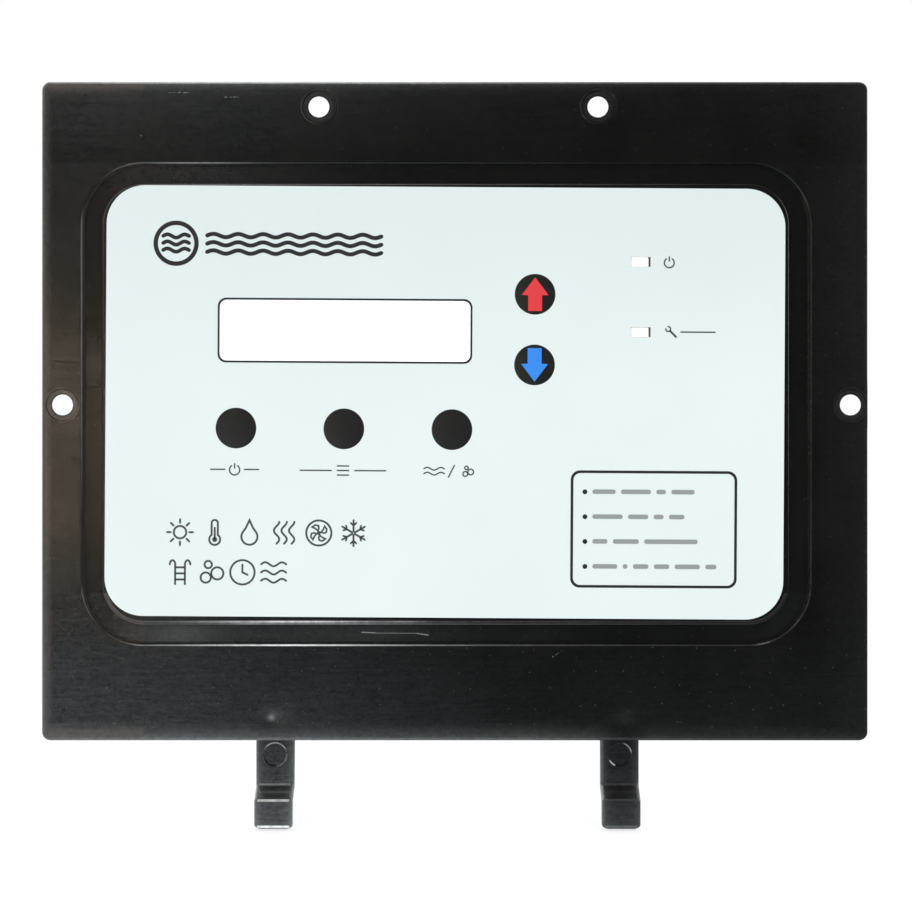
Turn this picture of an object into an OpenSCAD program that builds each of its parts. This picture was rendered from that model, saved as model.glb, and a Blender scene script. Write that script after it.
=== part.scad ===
// Control panel for a pool and spa heat pump: a black moulded bezel with a
// printed film, five push keys, a text display and two status lamps, and the
// control board that carries them all on the bezel's back.
//
// Frame: +X to the right and +Z up as seen from the front, the front faces -Y.
// The origin is the midpoint between the two side screw holes, on the flange's
// back face, which rests on the cabinet. Everything behind Y = 0 is inside the
// cabinet. Millimetres.
//
// Name endings: _w width in X, _h height in Z, _t thickness, _d diameter,
// _r radius, _at place as [x, z], _size [width, height], _deep extent along Y.

/* [Flange] */
// Width of the flange
flange_w = 211.2; // [208:0.1:216]
// Height of the flange
flange_h = 168.6; // [166:0.1:172]
// Thickness of the flange
flange_t = 3.0; // [2.6:0.1:3.4]
// Radius of the flange's corners
flange_r = 2.2; // [1.6:0.1:4]
// Rounding of the flange's front edge
edge_r = 1.0; // [0.5:0.1:1.4]

/* [Groove and pad] */
// Width of the groove's outline
groove_w = 185.8; // [185:0.1:188]
// Height of the groove's outline
groove_h = 122.8; // [122:0.1:125]
// Corner radius of the groove's outline
groove_r = 15.5; // [14:0.5:17]
// Depth of the groove below the flange's front face
groove_deep = 2.0; // [1.2:0.1:2.4]
// Width of the pad that carries the film
pad_w = 175.4; // [174.6:0.1:176]
// Height of the pad
pad_h = 112.7; // [112.4:0.1:114]
// Corner radius of the pad
pad_r = 10.5; // [9:0.5:12]
// Height of the pad's face above the flange's front face
pad_rise = 1.0; // [0.6:0.1:1.4]
// Wall thickness of the groove and the pad
wall = 2.5; // [2.2:0.1:2.8]

/* [Screw holes] */
// Diameter of the four panel screw holes
screw_d = 5.4; // [4.8:0.1:5.6]
// Diameter of the shallow ring around each hole
ring_d = 8.2; // [7:0.1:9]
// Depth of the ring
ring_t = 0.5; // [0.3:0.1:0.8]
// Hole to hole distance of the upper pair
top_spacing = 71.4; // [70:0.1:73]
// Height of the upper pair above the side pair
top_z = 76.25; // [75.5:0.05:77]
// Hole to hole distance of the side pair
side_spacing = 201.6; // [201:0.1:202]

/* [Hooks] */
// Width of each hook
hook_w = 10.0; // [9:0.5:12]
// Thickness of a hook's leg
hook_t = 3.8; // [3.4:0.1:4]
// Gap between the flange's back plane and the lower leg, for the cabinet sheet
hook_gap = 1.5; // [1.2:0.1:1.8]
// Gap between the flange's back plane and the upper leg
hook_back = 6.5; // [6:0.1:7]
// Lowest point of the hooks
hook_end = -109.5; // [-110:0.1:-108.5]

/* [Film] */
// Width of the printed film
film_w = 173.0; // [172.4:0.1:173.6]
// Height of the printed film
film_h = 109.8; // [109.4:0.1:110.4]
// Corner radius of the film
film_r = 9.8; // [9:0.1:11]
// Thickness of the film
film_t = 0.25; // [0.2:0.01:0.3]
// How far the film sits out of square, degrees
film_tilt = 0.35; // [0:0.05:0.4]

/* [Keys] */
// Diameter of a key
key_d = 10.3; // [10:0.1:10.4]
// Clearance around a key
key_gap = 0.05; // [0.03:0.01:0.08]
// Diameter of the bore behind a key
key_bore = 11.2; // [11:0.1:12]
// Travel of a key
key_travel = 0.3; // [0.2:0.05:0.3]
// Crown of a key above the film
key_crown = 0.35; // [0.2:0.05:0.5]

/* [Display] */
// Width of the display's window in the film
window_w = 63.9; // [63.4:0.1:64.4]
// Height of the display's window in the film
window_h = 15.5; // [15.2:0.1:16]
// Width of the display's board
lcd_w = 80; // [79:0.5:81]
// Height of the display's board
lcd_h = 36; // [35:0.5:37]

/* [Control board] */
// Width of the control board
board_w = 160; // [158:1:162]
// Height of the control board
board_h = 98; // [97:1:99]
// Thickness of both circuit boards
board_t = 1.6; // [1.5:0.1:1.6]

/* [Hidden] */
$fn = 64;
over = 1;         // how far cuts run past the faces they open
weld = 0.3;       // how far parts behind the pad sink into it
pin_pitch = 2.54;

// centres
flange_at = [-0.5, -1.6];
groove_at = [-2.65, 0.2];
pad_at = [-2.75, 0.1];
film_at = [-2.93, 0.6];
lcd_at = [-28.4, 18.85];
board_at = [-2.5, -0.6];
on_off_at = [-56.2, -5.95];
menu_at = [-28.7, -6.15];
pool_spa_at = [-1.15, -6.35];
up_at = [20.05, 28.15];
down_at = [19.9, 10.15];
key_places = [on_off_at, menu_at, pool_spa_at, up_at, down_at];
lamp_places = [[47.0, 36.4], [47.0, 18.5]];

// opening of a lamp in the film
lamp_w = 5.0;
lamp_h = 2.5;

glue_t = 0.02;    // adhesive between the film and the pad
lens_t = 1.5;
lcd_deep = 6.6;   // display frame

// planes along Y, from front to back, save the groove's two
y_pad = -(flange_t + pad_rise);
y_film = y_pad - film_t;
y_pad_back = y_pad + wall;
y_groove = -(flange_t - groove_deep);
y_groove_back = y_groove + wall;
y_lens_back = y_pad_back + lens_t;
y_lcd = y_lens_back + 0.2;
y_lcd_board = y_lcd + lcd_deep;
y_lcd_back = y_lcd_board + board_t;
y_board = y_lcd_back + 3.0;
y_back = y_board + board_t;

// ---------------------------------------------------------------- places

// The four places at +-x and +-z from a centre.
function corners(centre, x, z) = [for (sx = [-1, 1], sz = [-1, 1]) centre + [sx * x, sz * z]];

// The two places at +-x from a centre.
function sides(centre, x) = [for (s = [-1, 1]) centre + [s * x, 0]];

// The two places at +-z from a centre.
function above_below(centre, z) = [for (s = [-1, 1]) centre + [0, s * z]];

// A row of places along X about its centre.
function row(centre, pitch, count) =
    [for (i = [0:count - 1]) centre + [pitch * (i - (count - 1) / 2), 0]];

boss_inset = 4;   // from the board's edges
boss_places = [for (i = [-1:1], s = [-1, 1])
    board_at + [i * (board_w / 2 - boss_inset), s * (board_h / 2 - boss_inset)]];

lcd_hole_inset = 2.5;   // from the display board's edges
lcd_hole_z = lcd_h / 2 - lcd_hole_inset;
lcd_hole_places = corners(lcd_at, lcd_w / 2 - lcd_hole_inset, lcd_hole_z);
header_at = lcd_at + [-10.45, lcd_hole_z];
header_places = row(header_at, pin_pitch, 16);

// ---------------------------------------------------------------- helpers

// Points of an arc between two angles.
function arc(x, y, r, from, to, steps) =
    [for (i = [0:steps], angle = from + (to - from) * i / steps)
        [x + r * cos(angle), y + r * sin(angle)]];

// Cross-section of a slab with a rounded front edge, and its half for corners.
function crown(half_w, top, edge) = concat(
    [[-half_w, 0], [half_w, 0]],
    arc(half_w - edge, top - edge, edge, 0, 90, 4),
    arc(edge - half_w, top - edge, edge, 90, 180, 4));
function half_crown(r, top, edge) =
    concat([[0, 0], [r, 0]], arc(r - edge, top - edge, edge, 0, 90, 4), [[0, top]]);

// Cross-section of a pocket whose rim flares out by edge at height top, with
// 2 mm of straight cut above it, and its half for corners.
function flare(half_w, top, edge) = concat(
    [[-half_w, 0], [half_w, 0]],
    arc(half_w + edge, top - edge, edge, 180, 90, 3),
    [[half_w + edge, top + 2], [-half_w - edge, top + 2]],
    arc(-half_w - edge, top - edge, edge, 90, 0, 3));
function half_flare(r, top, edge) = concat(
    [[0, 0], [r, 0]],
    arc(r + edge, top - edge, edge, 180, 90, 3),
    [[r + edge, top + 2], [0, top + 2]]);

// Extrudes a flat shape drawn in X and Z between two planes along Y.
module prism(place, y_from, y_to) {
    translate([place[0], y_to, place[1]])
        rotate([90, 0, 0])
            linear_extrude(y_to - y_from) children();
}

// The same as a cut that runs past both planes.
module through(place, y_from, y_to) {
    prism(place, y_from - over, y_to + over) children();
}

// The same with the planes counted back from the control board's back face.
module on_board(place, low, high) {
    prism(place, y_back + low, y_back + high) children();
}

// A rectangular block behind the control board.
module block(place, size, low, high) {
    on_board(place, low, high) square(size, center = true);
}

// Stands a shape drawn along Z at a plane, towards the front or the back.
FRONT = -1;
BACK = 1;
module facing(place, y, way) {
    translate([place[0], y, place[1]]) rotate([-90 * way, 0, 0]) children();
}

module rounded_rect(w, h, r) {
    square([w - 2 * r, h], center = true);
    square([w, h - 2 * r], center = true);
    for (corner = corners([0, 0], w / 2 - r, h / 2 - r)) translate(corner) circle(r);
}

// Bars across the middle and turned corners make a rounded slab or pocket.
module swept(w, h, r, section_h, section_w, corner_section) {
    rotate([90, 0, 90])
        translate([0, 0, -(w / 2 - r)])
            linear_extrude(w - 2 * r) polygon(section_h);
    rotate([90, 0, 0])
        translate([0, 0, -(h / 2 - r)])
            linear_extrude(h - 2 * r) polygon(section_w);
    for (corner = corners([0, 0], w / 2 - r, h / 2 - r))
        translate(corner) rotate_extrude() polygon(corner_section);
}

module soft_slab(w, h, top, r, edge) {
    swept(w, h, r, crown(h / 2, top, edge), crown(w / 2, top, edge), half_crown(r, top, edge));
}

module soft_pocket(w, h, top, r, edge) {
    swept(w, h, r, flare(h / 2, top, edge), flare(w / 2, top, edge), half_flare(r, top, edge));
}

// Pan head with a cross recess; the thread is a plain shank.
module pan_screw(place, y_face, way, head_d, head_t, shank_d, shank_l) {
    long = head_d * 0.55;
    narrow = head_d * 0.12;
    recess = 1.1;
    sunk = 0.5;   // how far the shank reaches into the head
    facing(place, y_face, way) difference() {
        union() {
            rotate_extrude() polygon(half_crown(head_d / 2, head_t, 0.8));
            translate([0, 0, -shank_l])
                linear_extrude(shank_l + sunk) circle(d = shank_d, $fn = 32);
        }
        translate([0, 0, head_t - recess]) linear_extrude(recess + over) {
            square([long, narrow], center = true);
            square([narrow, long], center = true);
        }
    }
}

// ---------------------------------------------------------------- bezel

groove_edge = 0.5;
pad_edge = 0.7;
tub_front = -0.5;       // the groove's outer wall starts inside the flange
opening_margin = 1.3;   // display opening around the film's window
opening_r = 2.6;
top_pair_x = 0.5;       // the upper screw pair sits right of the origin

lens_size = [72, 23];
lens_r = 1.1;
lens_gap = 0.1;
rim_t = 1.2;

boss_d = 7;
pilot_d = 3;
rib_l = 12;
rib_t = 1.2;
rib_short = 4;          // from the ribs' back end to the control board

hook_places = [-47.3, 42.6];   // X only
hook_root = -0.5;       // the shelf starts inside the flange
hook_rear = hook_back + hook_t;
hook_lower_rear = hook_gap + hook_t;
hook_clip_top = -72;    // above the hooks, so only their lower corners round
shelf_top = -78.2;
shelf_bottom = -81.8;
dimple_z = -90.9;
dimple_d = 6.1;
dimple_deep = 0.25;

// Side outline of a hook as [y, z].
hook_outline = [
    [hook_root, shelf_top], [hook_rear - 1.5, shelf_top], [hook_rear, shelf_top - 1.5],
    [hook_rear, -99.7], [hook_lower_rear, -102.9],
    [hook_lower_rear, hook_end + 1.0], [hook_lower_rear - 1.0, hook_end],
    [hook_gap + 0.8, hook_end], [hook_gap, hook_end + 0.8],
    [hook_gap, -101.8], [hook_back, -98.6],
    [hook_back, shelf_bottom], [hook_root, shelf_bottom]
];

// One joggled hook: a shelf runs back from the flange, the upper leg drops
// behind the cabinet sheet and the lower leg steps forward against it.
module hook(x) {
    intersection() {
        rotate([90, 0, 90])
            translate([0, 0, x - hook_w / 2])
                linear_extrude(hook_w) polygon(hook_outline);
        through([x, (hook_end + hook_clip_top) / 2], hook_root, hook_rear)
            rounded_rect(hook_w, hook_clip_top - hook_end, 1.2);
    }
}

// Hooks with a round dimple in the front face of the upper leg.
module hooks() {
    for (x = hook_places) difference() {
        hook(x);
        prism([x, dimple_z], hook_back - over, hook_back + dimple_deep) circle(d = dimple_d);
    }
}

module screw_hole(place) {
    through(place, -flange_t, 0) circle(d = screw_d);
    prism(place, -flange_t - over, -flange_t + ring_t) circle(d = ring_d);
}

// Flange with the groove sunk in it, before the pad is added.
module grooved_flange() {
    difference() {
        union() {
            facing(flange_at, 0, FRONT) soft_slab(flange_w, flange_h, flange_t, flange_r, edge_r);
            prism(groove_at, tub_front, y_groove_back)
                rounded_rect(groove_w + 2 * wall, groove_h + 2 * wall, groove_r + wall);
        }
        facing(groove_at, y_groove, FRONT)
            soft_pocket(groove_w, groove_h, groove_deep, groove_r, groove_edge);
    }
}

// Display opening, lamp slots and key bores.
module pad_openings() {
    through(lcd_at, y_pad, y_pad_back)
        rounded_rect(window_w + 2 * opening_margin, window_h + 2 * opening_margin, opening_r);
    for (place = lamp_places)
        through(place, y_pad, y_pad_back) square([lamp_w + 0.2, lamp_h + 0.3], center = true);
    for (place = key_places) through(place, y_pad, y_pad_back) circle(d = key_bore);
}

module bezel_face() {
    difference() {
        union() {
            grooved_flange();
            facing(pad_at, 0, FRONT) soft_slab(pad_w, pad_h, -y_pad, pad_r, pad_edge);
        }
        // pocket behind the pad
        prism(pad_at, y_pad_back, y_groove_back + over)
            rounded_rect(pad_w - 2 * wall, pad_h - 2 * wall, pad_r - wall);
        pad_openings();
        for (place = sides([top_pair_x, top_z], top_spacing / 2)) screw_hole(place);
        for (place = sides([0, 0], side_spacing / 2)) screw_hole(place);
    }
}

// Rim that locates the display lens.
module lens_rim() {
    inner = lens_size + 2 * lens_gap * [1, 1];
    outer = inner + 2 * rim_t * [1, 1];
    inner_r = lens_r + lens_gap;
    difference() {
        prism(lcd_at, y_pad_back - weld, y_lens_back)
            rounded_rect(outer[0], outer[1], inner_r + rim_t);
        through(lcd_at, y_pad_back, y_lens_back) rounded_rect(inner[0], inner[1], inner_r);
    }
}

// Ribbed bosses that carry the control board, with pilot holes.
module board_bosses() {
    y_root = y_pad_back - weld;
    for (place = boss_places) difference() {
        union() {
            prism(place, y_root, y_board) circle(d = boss_d);
            for (rib = [[rib_t, rib_l], [rib_l, rib_t]])
                prism(place, y_root, y_board - rib_short) square(rib, center = true);
        }
        prism(place, y_pad_back + 1.5, y_board + over) circle(d = pilot_d);
    }
}

module bezel() {
    color([0.045, 0.043, 0.042]) {
        bezel_face();
        lens_rim();
        board_bosses();
        hooks();
    }
}

// ---------------------------------------------------------------- film and lens

window_r = 1.8;

// Turns a shape out of square by the film's tilt, about its own centre.
module tilted(place) {
    translate([place[0], 0, place[1]]) rotate([0, film_tilt, 0]) children();
}

module graphic_overlay() {
    color([0.88, 0.93, 0.92])
    difference() {
        tilted(film_at) prism([0, 0], y_film, y_pad - glue_t) rounded_rect(film_w, film_h, film_r);
        tilted(lcd_at) through([0, 0], y_film, y_pad) rounded_rect(window_w, window_h, window_r);
        for (place = lamp_places)
            through(place, y_film, y_pad) square([lamp_w, lamp_h], center = true);
        for (place = key_places) through(place, y_film, y_pad) circle(d = key_d + 2 * key_gap);
    }
}

module display_lens() {
    color([0.85, 0.92, 0.95, 0.4])
    prism(lcd_at, y_pad_back, y_lens_back) rounded_rect(lens_size[0], lens_size[1], lens_r);
}

// ---------------------------------------------------------------- display module

frame_size = [71.3, 26.8];
frame_t = 0.5;
frame_window = [66.4, 17.4];
glass_size = [69.8, 25.2];
backlight_size = [68, 17.5];
strip_size = [62, 2.0];
strip_z = 11.2;             // from the display's centre
lcd_hole_d = 2.7;
header_hole_d = 1;
header_size = [40.6, 2.5];
header_gap = 0.2;           // to the board on either side
header_pin_w = 0.64;
header_slot_w = 0.66;
spacer_d = 4.6;
spacer_bore = 2.6;
nut_d = 5.77;               // across corners
nut_bore = 2.5;
nut_t = 2.0;

// Round blobs on the display board: [x, z from its centre, radius].
chips = [[-14, -2, 6.5], [16, -2, 5.5]];
chip_edge = 1.2;
chip_deep = 1.5;

module lcd_frame() {
    color([0.1, 0.1, 0.1])
    difference() {
        prism(lcd_at, y_lcd, y_lcd_board) square(frame_size, center = true);
        prism(lcd_at, y_lcd + frame_t, y_lcd_board + over)
            square(frame_size - 2 * frame_t * [1, 1], center = true);
        prism(lcd_at, y_lcd - over, y_lcd + over) square(frame_window, center = true);
    }
}

module lcd_glass() {
    color([0.82, 0.88, 0.84])
    prism(lcd_at, y_lcd + 0.55, y_lcd + 3.15) square(glass_size, center = true);
}

module lcd_backlight() {
    color([0.95, 0.97, 0.97])
    prism(lcd_at, y_lcd + 3.25, y_lcd_board - 0.05) square(backlight_size, center = true);
}

module lcd_contact_strips() {
    color([0.75, 0.45, 0.55])
    for (place = above_below(lcd_at, strip_z))
        prism(place, y_lcd + 3.2, y_lcd_board) square(strip_size, center = true);
}

// Screw and header holes that both circuit boards share.
module shared_holes(y_from, y_to) {
    for (place = lcd_hole_places) through(place, y_from, y_to) circle(d = lcd_hole_d, $fn = 32);
    for (place = header_places) through(place, y_from, y_to) circle(d = header_hole_d, $fn = 16);
}

module lcd_board() {
    color([0.05, 0.32, 0.16])
    difference() {
        prism(lcd_at, y_lcd_board, y_lcd_back) square([lcd_w, lcd_h], center = true);
        shared_holes(y_lcd_board, y_lcd_back);
    }
}

module lcd_driver_chips() {
    color([0.03, 0.03, 0.03])
    for (chip = chips)
        facing(lcd_at + [chip[0], chip[1]], y_lcd_back, BACK)
            rotate_extrude() polygon(concat(
                [[0, 0]],
                arc(chip[2] - chip_edge, 0, chip_edge, 0, 90, 4),
                [[0, chip_deep]]));
}

module lcd_header() {
    color([0.03, 0.03, 0.03])
    difference() {
        prism(header_at, y_lcd_back + header_gap, y_board - header_gap)
            square(header_size, center = true);
        for (place = header_places)
            through(place, y_lcd_back, y_board) square(header_slot_w, center = true);
    }
}

module lcd_header_pins() {
    color([0.85, 0.7, 0.3])
    for (place = header_places)
        prism(place, y_lcd_board - 0.9, y_back + 1.4) square(header_pin_w, center = true);
}

module lcd_spacers() {
    color([0.92, 0.92, 0.9])
    for (place = lcd_hole_places) difference() {
        prism(place, y_lcd_back, y_board) circle(d = spacer_d, $fn = 32);
        through(place, y_lcd_back, y_board) circle(d = spacer_bore, $fn = 32);
    }
}

module lcd_screws() {
    color([0.75, 0.75, 0.76])
    for (place = lcd_hole_places)
        pan_screw(place, y_lcd_board, FRONT,
                  head_d = 4.4, head_t = 1.7, shank_d = 2.45, shank_l = 8.6);
}

module lcd_nuts() {
    color([0.78, 0.78, 0.74])
    for (place = lcd_hole_places) difference() {
        on_board(place, 0, nut_t) circle(d = nut_d, $fn = 6);
        through(place, y_back, y_back + nut_t) circle(d = nut_bore, $fn = 32);
    }
}

// ---------------------------------------------------------------- control board

board_r = 2;
board_hole_d = 3.4;

module control_board() {
    color([0.04, 0.3, 0.14])
    difference() {
        prism(board_at, y_board, y_back) rounded_rect(board_w, board_h, board_r);
        for (place = boss_places) through(place, y_board, y_back) circle(d = board_hole_d, $fn = 32);
        shared_holes(y_board, y_back);
    }
}

module board_screws() {
    color([0.8, 0.8, 0.8])
    for (place = boss_places)
        pan_screw(place, y_back, BACK, head_d = 6, head_t = 2.3, shank_d = 2.9, shank_l = 9);
}

// ---------------------------------------------------------------- keys and switches

switch_w = 6.2;
switch_bore = 4.4;
cover_t = 0.3;
cover_bore = 3.6;
clip_h = 3.4;
y_switch = y_board - 3.3;   // front of the switch base
y_cover = y_switch - cover_t;
y_dome = y_board - 1.8;     // floor of the switch

// Half section of a snap dome as [radius, height].
dome_section = [
    [0, 0.16], [0.6, 0.16], [1.9, 0], [2.0, 0],
    [2.0, 0.06], [1.9, 0.06], [0.6, 0.24], [0, 0.24]
];

module switch_bases() {
    color([0.05, 0.05, 0.05])
    for (place = key_places) difference() {
        prism(place, y_switch, y_board) square(switch_w, center = true);
        prism(place, y_switch - over, y_dome) circle(d = switch_bore, $fn = 32);
    }
}

// Plate over each switch with a clip down its left and right sides.
module switch_covers() {
    color([0.78, 0.78, 0.78])
    for (place = key_places) difference() {
        union() {
            prism(place, y_cover, y_switch) square(switch_w, center = true);
            for (clip = sides(place, (switch_w + cover_t) / 2))
                prism(clip, y_cover, y_board - 1.2) square([cover_t, clip_h], center = true);
        }
        through(place, y_cover, y_switch) circle(d = cover_bore, $fn = 48);
        // strips flush with the clips' inner faces
        for (strip = sides(place, 3.05))
            prism(strip, y_switch, y_board) square([0.1, 4], center = true);
    }
}

// Snap domes: shallow spring discs on the floor of each switch.
module switch_domes() {
    color([0.8, 0.79, 0.75])
    for (place = key_places)
        facing(place, y_dome, FRONT) rotate_extrude() polygon(dome_section);
}

// One key: a crowned disc of the film that gives under a finger.
module key_disc(place) {
    radius = key_d / 2;
    steps = 8;
    crown_points = [for (i = [1:steps], angle = 90 * i / steps)
        [radius * cos(angle), film_t + key_crown * sin(angle) * sin(angle)]];
    color([0.03, 0.035, 0.035])
    facing(place, y_pad, FRONT)
        rotate_extrude($fn = 96)
            polygon(concat([[0, 0], [radius, 0], [radius, film_t]], crown_points));
}

// The switch stem that reaches from the snap dome to the key: shaft, collar
// and tip.
module key_stem(place) {
    color([0.06, 0.06, 0.06]) {
        prism(place, y_pad, y_board - 2.9) circle(d = 3.5, $fn = 48);
        prism(place, y_board - 3.15, y_board - 2.5) circle(d = 4.0, $fn = 48);
        prism(place, y_board - 2.6, y_board - 2.06 - key_travel) circle(d = 1.6, $fn = 32);
    }
}

module key_on_off() { key_disc(on_off_at); }
module stem_on_off() { key_stem(on_off_at); }
module key_menu() { key_disc(menu_at); }
module stem_menu() { key_stem(menu_at); }
module key_pool_spa() { key_disc(pool_spa_at); }
module stem_pool_spa() { key_stem(pool_spa_at); }
module key_up() { key_disc(up_at); }
module stem_up() { key_stem(up_at); }
module key_down() { key_disc(down_at); }
module stem_down() { key_stem(down_at); }

// ---------------------------------------------------------------- status lamps

lamp_foot = [5.4, 3.0];
lamp_spacer = [5.2, 3.0];
y_lamp_foot = 1.6;
y_lamp_back = 2.4;
lead_w = 0.5;
lead_bore = 0.8;

// Rectangular lamp: its face fills the slot from the left and leaves a sliver.
module lamp(place) {
    color([0.97, 0.96, 0.9]) {
        prism(place - [0.25, 0], y_pad - 0.15, y_lamp_foot)
            square([lamp_w - 0.7, lamp_h - 0.14], center = true);
        prism(place, y_lamp_foot, y_lamp_back) square(lamp_foot, center = true);
    }
}

module lamp_on() { lamp(lamp_places[0]); }
module lamp_service() { lamp(lamp_places[1]); }

module lamp_spacers() {
    color([0.06, 0.06, 0.06])
    for (place = lamp_places) difference() {
        prism(place, y_lamp_back, y_board) square(lamp_spacer, center = true);
        for (lead = sides(place, pin_pitch / 2))
            through(lead, y_lamp_back, y_board) circle(d = lead_bore, $fn = 16);
    }
}

module lamp_leads() {
    color([0.8, 0.8, 0.8])
    for (place = lamp_places, lead = sides(place, pin_pitch / 2))
        prism(lead, y_lamp_back, y_board) square(lead_w, center = true);
}

// ---------------------------------------------------------------- board components
// Heights here are counted back from the control board's back face.

module microcontroller() {
    color([0.04, 0.04, 0.045])
    block([-28, 20], [14, 14], 0.2, 1.8);
}

driver_at = [-40, -8];
driver_size = [20, 6.4];
driver_deep = 3.8;

// Chip with a round notch in its left end.
module relay_driver() {
    color([0.04, 0.04, 0.045])
    difference() {
        block(driver_at, driver_size, 0.5, driver_deep);
        on_board(driver_at - [driver_size[0] / 2, 0], driver_deep - 1, driver_deep + over)
            circle(d = 2, $fn = 24);
    }
}

module crystal() {
    color([0.75, 0.75, 0.74])
    on_board([-8, 24], 0, 3.6) rounded_rect(4.7, 11.2, 2.3);
}

module relays() {
    color([0.05, 0.13, 0.36])
    for (place = row([-41, -28], 18, 4)) on_board(place, 0, 15.5) rounded_rect(15.4, 19.2, 0.8);
}

tab_w = 6.3;
tab_t = 0.8;
tab_deep = 9;
tab_hole_deep = 5.6;

// Each tab is a blade with a hole, standing on a foot.
module spade_tabs() {
    color([0.82, 0.82, 0.8])
    for (place = row([-40.7, -44], 8.6, 8)) {
        block(place, [tab_w, 2.6], 0, tab_t);
        difference() {
            block(place, [tab_w, tab_t], tab_t - 0.1, tab_deep);
            translate([place[0], y_back + tab_hole_deep, place[1]])
                cylinder(h = 4, d = 1.7, center = true, $fn = 24);
        }
    }
}

// Capacitor cans: [x, z, diameter, depth].
cans = [[54, 24, 12.6, 20], [66, 11, 8, 12], [66, 33, 8, 12], [37, 25, 8, 12]];

// Can with a crimp near its foot and a sunk end.
module can(x, z, d, deep) {
    r = d / 2;
    edge = 0.6;
    facing([x, z], y_back, BACK) rotate_extrude() polygon(concat(
        [[0, 0], [r, 0], [r, 1.2], [r - 0.35, 1.5], [r, 1.8]],
        arc(r - edge, deep - edge, edge, 0, 90, 3),
        [[r - 1.2, deep], [r - 1.4, deep - 0.25], [0, deep - 0.25]]));
}

module capacitors() {
    color([0.06, 0.07, 0.12])
    for (c = cans) can(c[0], c[1], c[2], c[3]);
}

diode_at = [46, -8];    // lowest of the four
diode_pitch = 4.4;
diode_axis = 1.7;       // above the board
diode_lead = 0.7;

module rectifier_diodes() {
    color([0.06, 0.06, 0.06])
    for (i = [0:3])
        translate([diode_at[0], y_back + diode_axis, diode_at[1] + diode_pitch * i]) {
            rotate([0, 90, 0]) cylinder(h = 5.2, d = 2.8, center = true, $fn = 32);
            cube([10.2, diode_lead, diode_lead], center = true);
            for (s = [-1, 1])
                translate([s * 4.8, -diode_axis / 2, 0])
                    cube([diode_lead, diode_axis, diode_lead], center = true);
        }
}

regulator_at = [30, 42.05];
sink_x = regulator_at[0];
sink_low = 1;
sink_high = 19;

module regulator() {
    color([0.07, 0.07, 0.07]) {
        block(regulator_at, [10, 4.4], 4, 13.2);
        for (leg = row(regulator_at, pin_pitch, 3)) block(leg, [0.9, 0.5], 0, 4.1);
    }
}

// Plate with seven fins on its lower side.
module heat_sink() {
    color([0.12, 0.12, 0.13]) {
        block([sink_x, 38.8], [22, 2], sink_low, sink_high);
        for (fin = row([sink_x, 35.6], 3.5, 7)) block(fin, [1, 4.8], sink_low, sink_high);
    }
}

sensor_size = [12.4, 5.8];
sensor_wall = 0.8;
sensor_deep = 7;

// Open sockets, each with a notch in its lower wall.
module sensor_headers() {
    color([0.93, 0.92, 0.86])
    for (place = row([-42, 44], 18, 3)) difference() {
        block(place, sensor_size, 0, sensor_deep);
        block(place, sensor_size - 2 * sensor_wall * [1, 1], 1.2, sensor_deep + over);
        block(place - [0, 3], [3.2, 1.6], 3, sensor_deep + over);
    }
}

terminal_at = [36, -40];
terminal_places = row(terminal_at, 5.08, 8);
terminal_size = [41.6, 9];
terminal_wall = 1;
terminal_deep = 12;

// Open socket with a notch in its upper wall beside each pin.
module terminal_header() {
    color([0.1, 0.42, 0.2])
    difference() {
        block(terminal_at, terminal_size, 0, terminal_deep);
        block(terminal_at, terminal_size - 2 * terminal_wall * [1, 1], 3.4, terminal_deep + over);
        for (place = terminal_places) block(place + [0, 4], [2, 3], 5, terminal_deep + over);
        for (place = terminal_places) block(place, 1.06, -over, 4);
    }
}

module terminal_pins() {
    color([0.82, 0.82, 0.8])
    for (place = terminal_places) block(place, 1.0, 0, 10);
}

fuse_at = [62, -14];
holder_deep = 8;

module fuse_holder() {
    color([0.05, 0.05, 0.05])
    difference() {
        block(fuse_at, [8, 22], 0, holder_deep);
        block(fuse_at, [5.4, 19.6], 1.4, holder_deep + over);
    }
}

// Blade fuse: head, neck and two blades.
module fuse() {
    color([0.45, 0.2, 0.62]) {
        block(fuse_at, [4.6, 19], 8.6, 18);
        block(fuse_at, [4.4, 15], 6.6, 8.7);
        for (blade = above_below(fuse_at, 7)) block(blade, [0.7, 5], 1.6, 6.7);
    }
}

trimmer_at = [26, -10];
trimmer_deep = 4.8;
rotor_deep = 5.1;

module trimmer_body() {
    color([0.1, 0.25, 0.6])
    difference() {
        block(trimmer_at, 6.8, 0, trimmer_deep);
        on_board(trimmer_at, 2.8, trimmer_deep + over) circle(d = 4.6, $fn = 48);
    }
}

module trimmer_rotor() {
    color([0.93, 0.92, 0.88])
    difference() {
        on_board(trimmer_at, 2.85, rotor_deep) circle(d = 4.48, $fn = 48);
        for (slot = [[3.4, 0.7], [0.7, 2.2]])
            block(trimmer_at, slot, rotor_deep - 0.8, rotor_deep + over);
    }
}

// ---------------------------------------------------------------- parts

bezel();
graphic_overlay();
display_lens();
lcd_frame();
lcd_glass();
lcd_backlight();
lcd_contact_strips();
lcd_board();
lcd_driver_chips();
lcd_header();
lcd_header_pins();
lcd_spacers();
lcd_screws();
lcd_nuts();
control_board();
board_screws();
switch_bases();
switch_covers();
switch_domes();
lamp_on();
lamp_service();
lamp_spacers();
lamp_leads();
microcontroller();
relay_driver();
crystal();
relays();
spade_tabs();
capacitors();
rectifier_diodes();
regulator();
heat_sink();
sensor_headers();
terminal_header();
terminal_pins();
fuse_holder();
fuse();
trimmer_body();
trimmer_rotor();
key_on_off();
stem_on_off();
key_menu();
stem_menu();
key_pool_spa();
stem_pool_spa();
key_up();
stem_up();
key_down();
stem_down();
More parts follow.
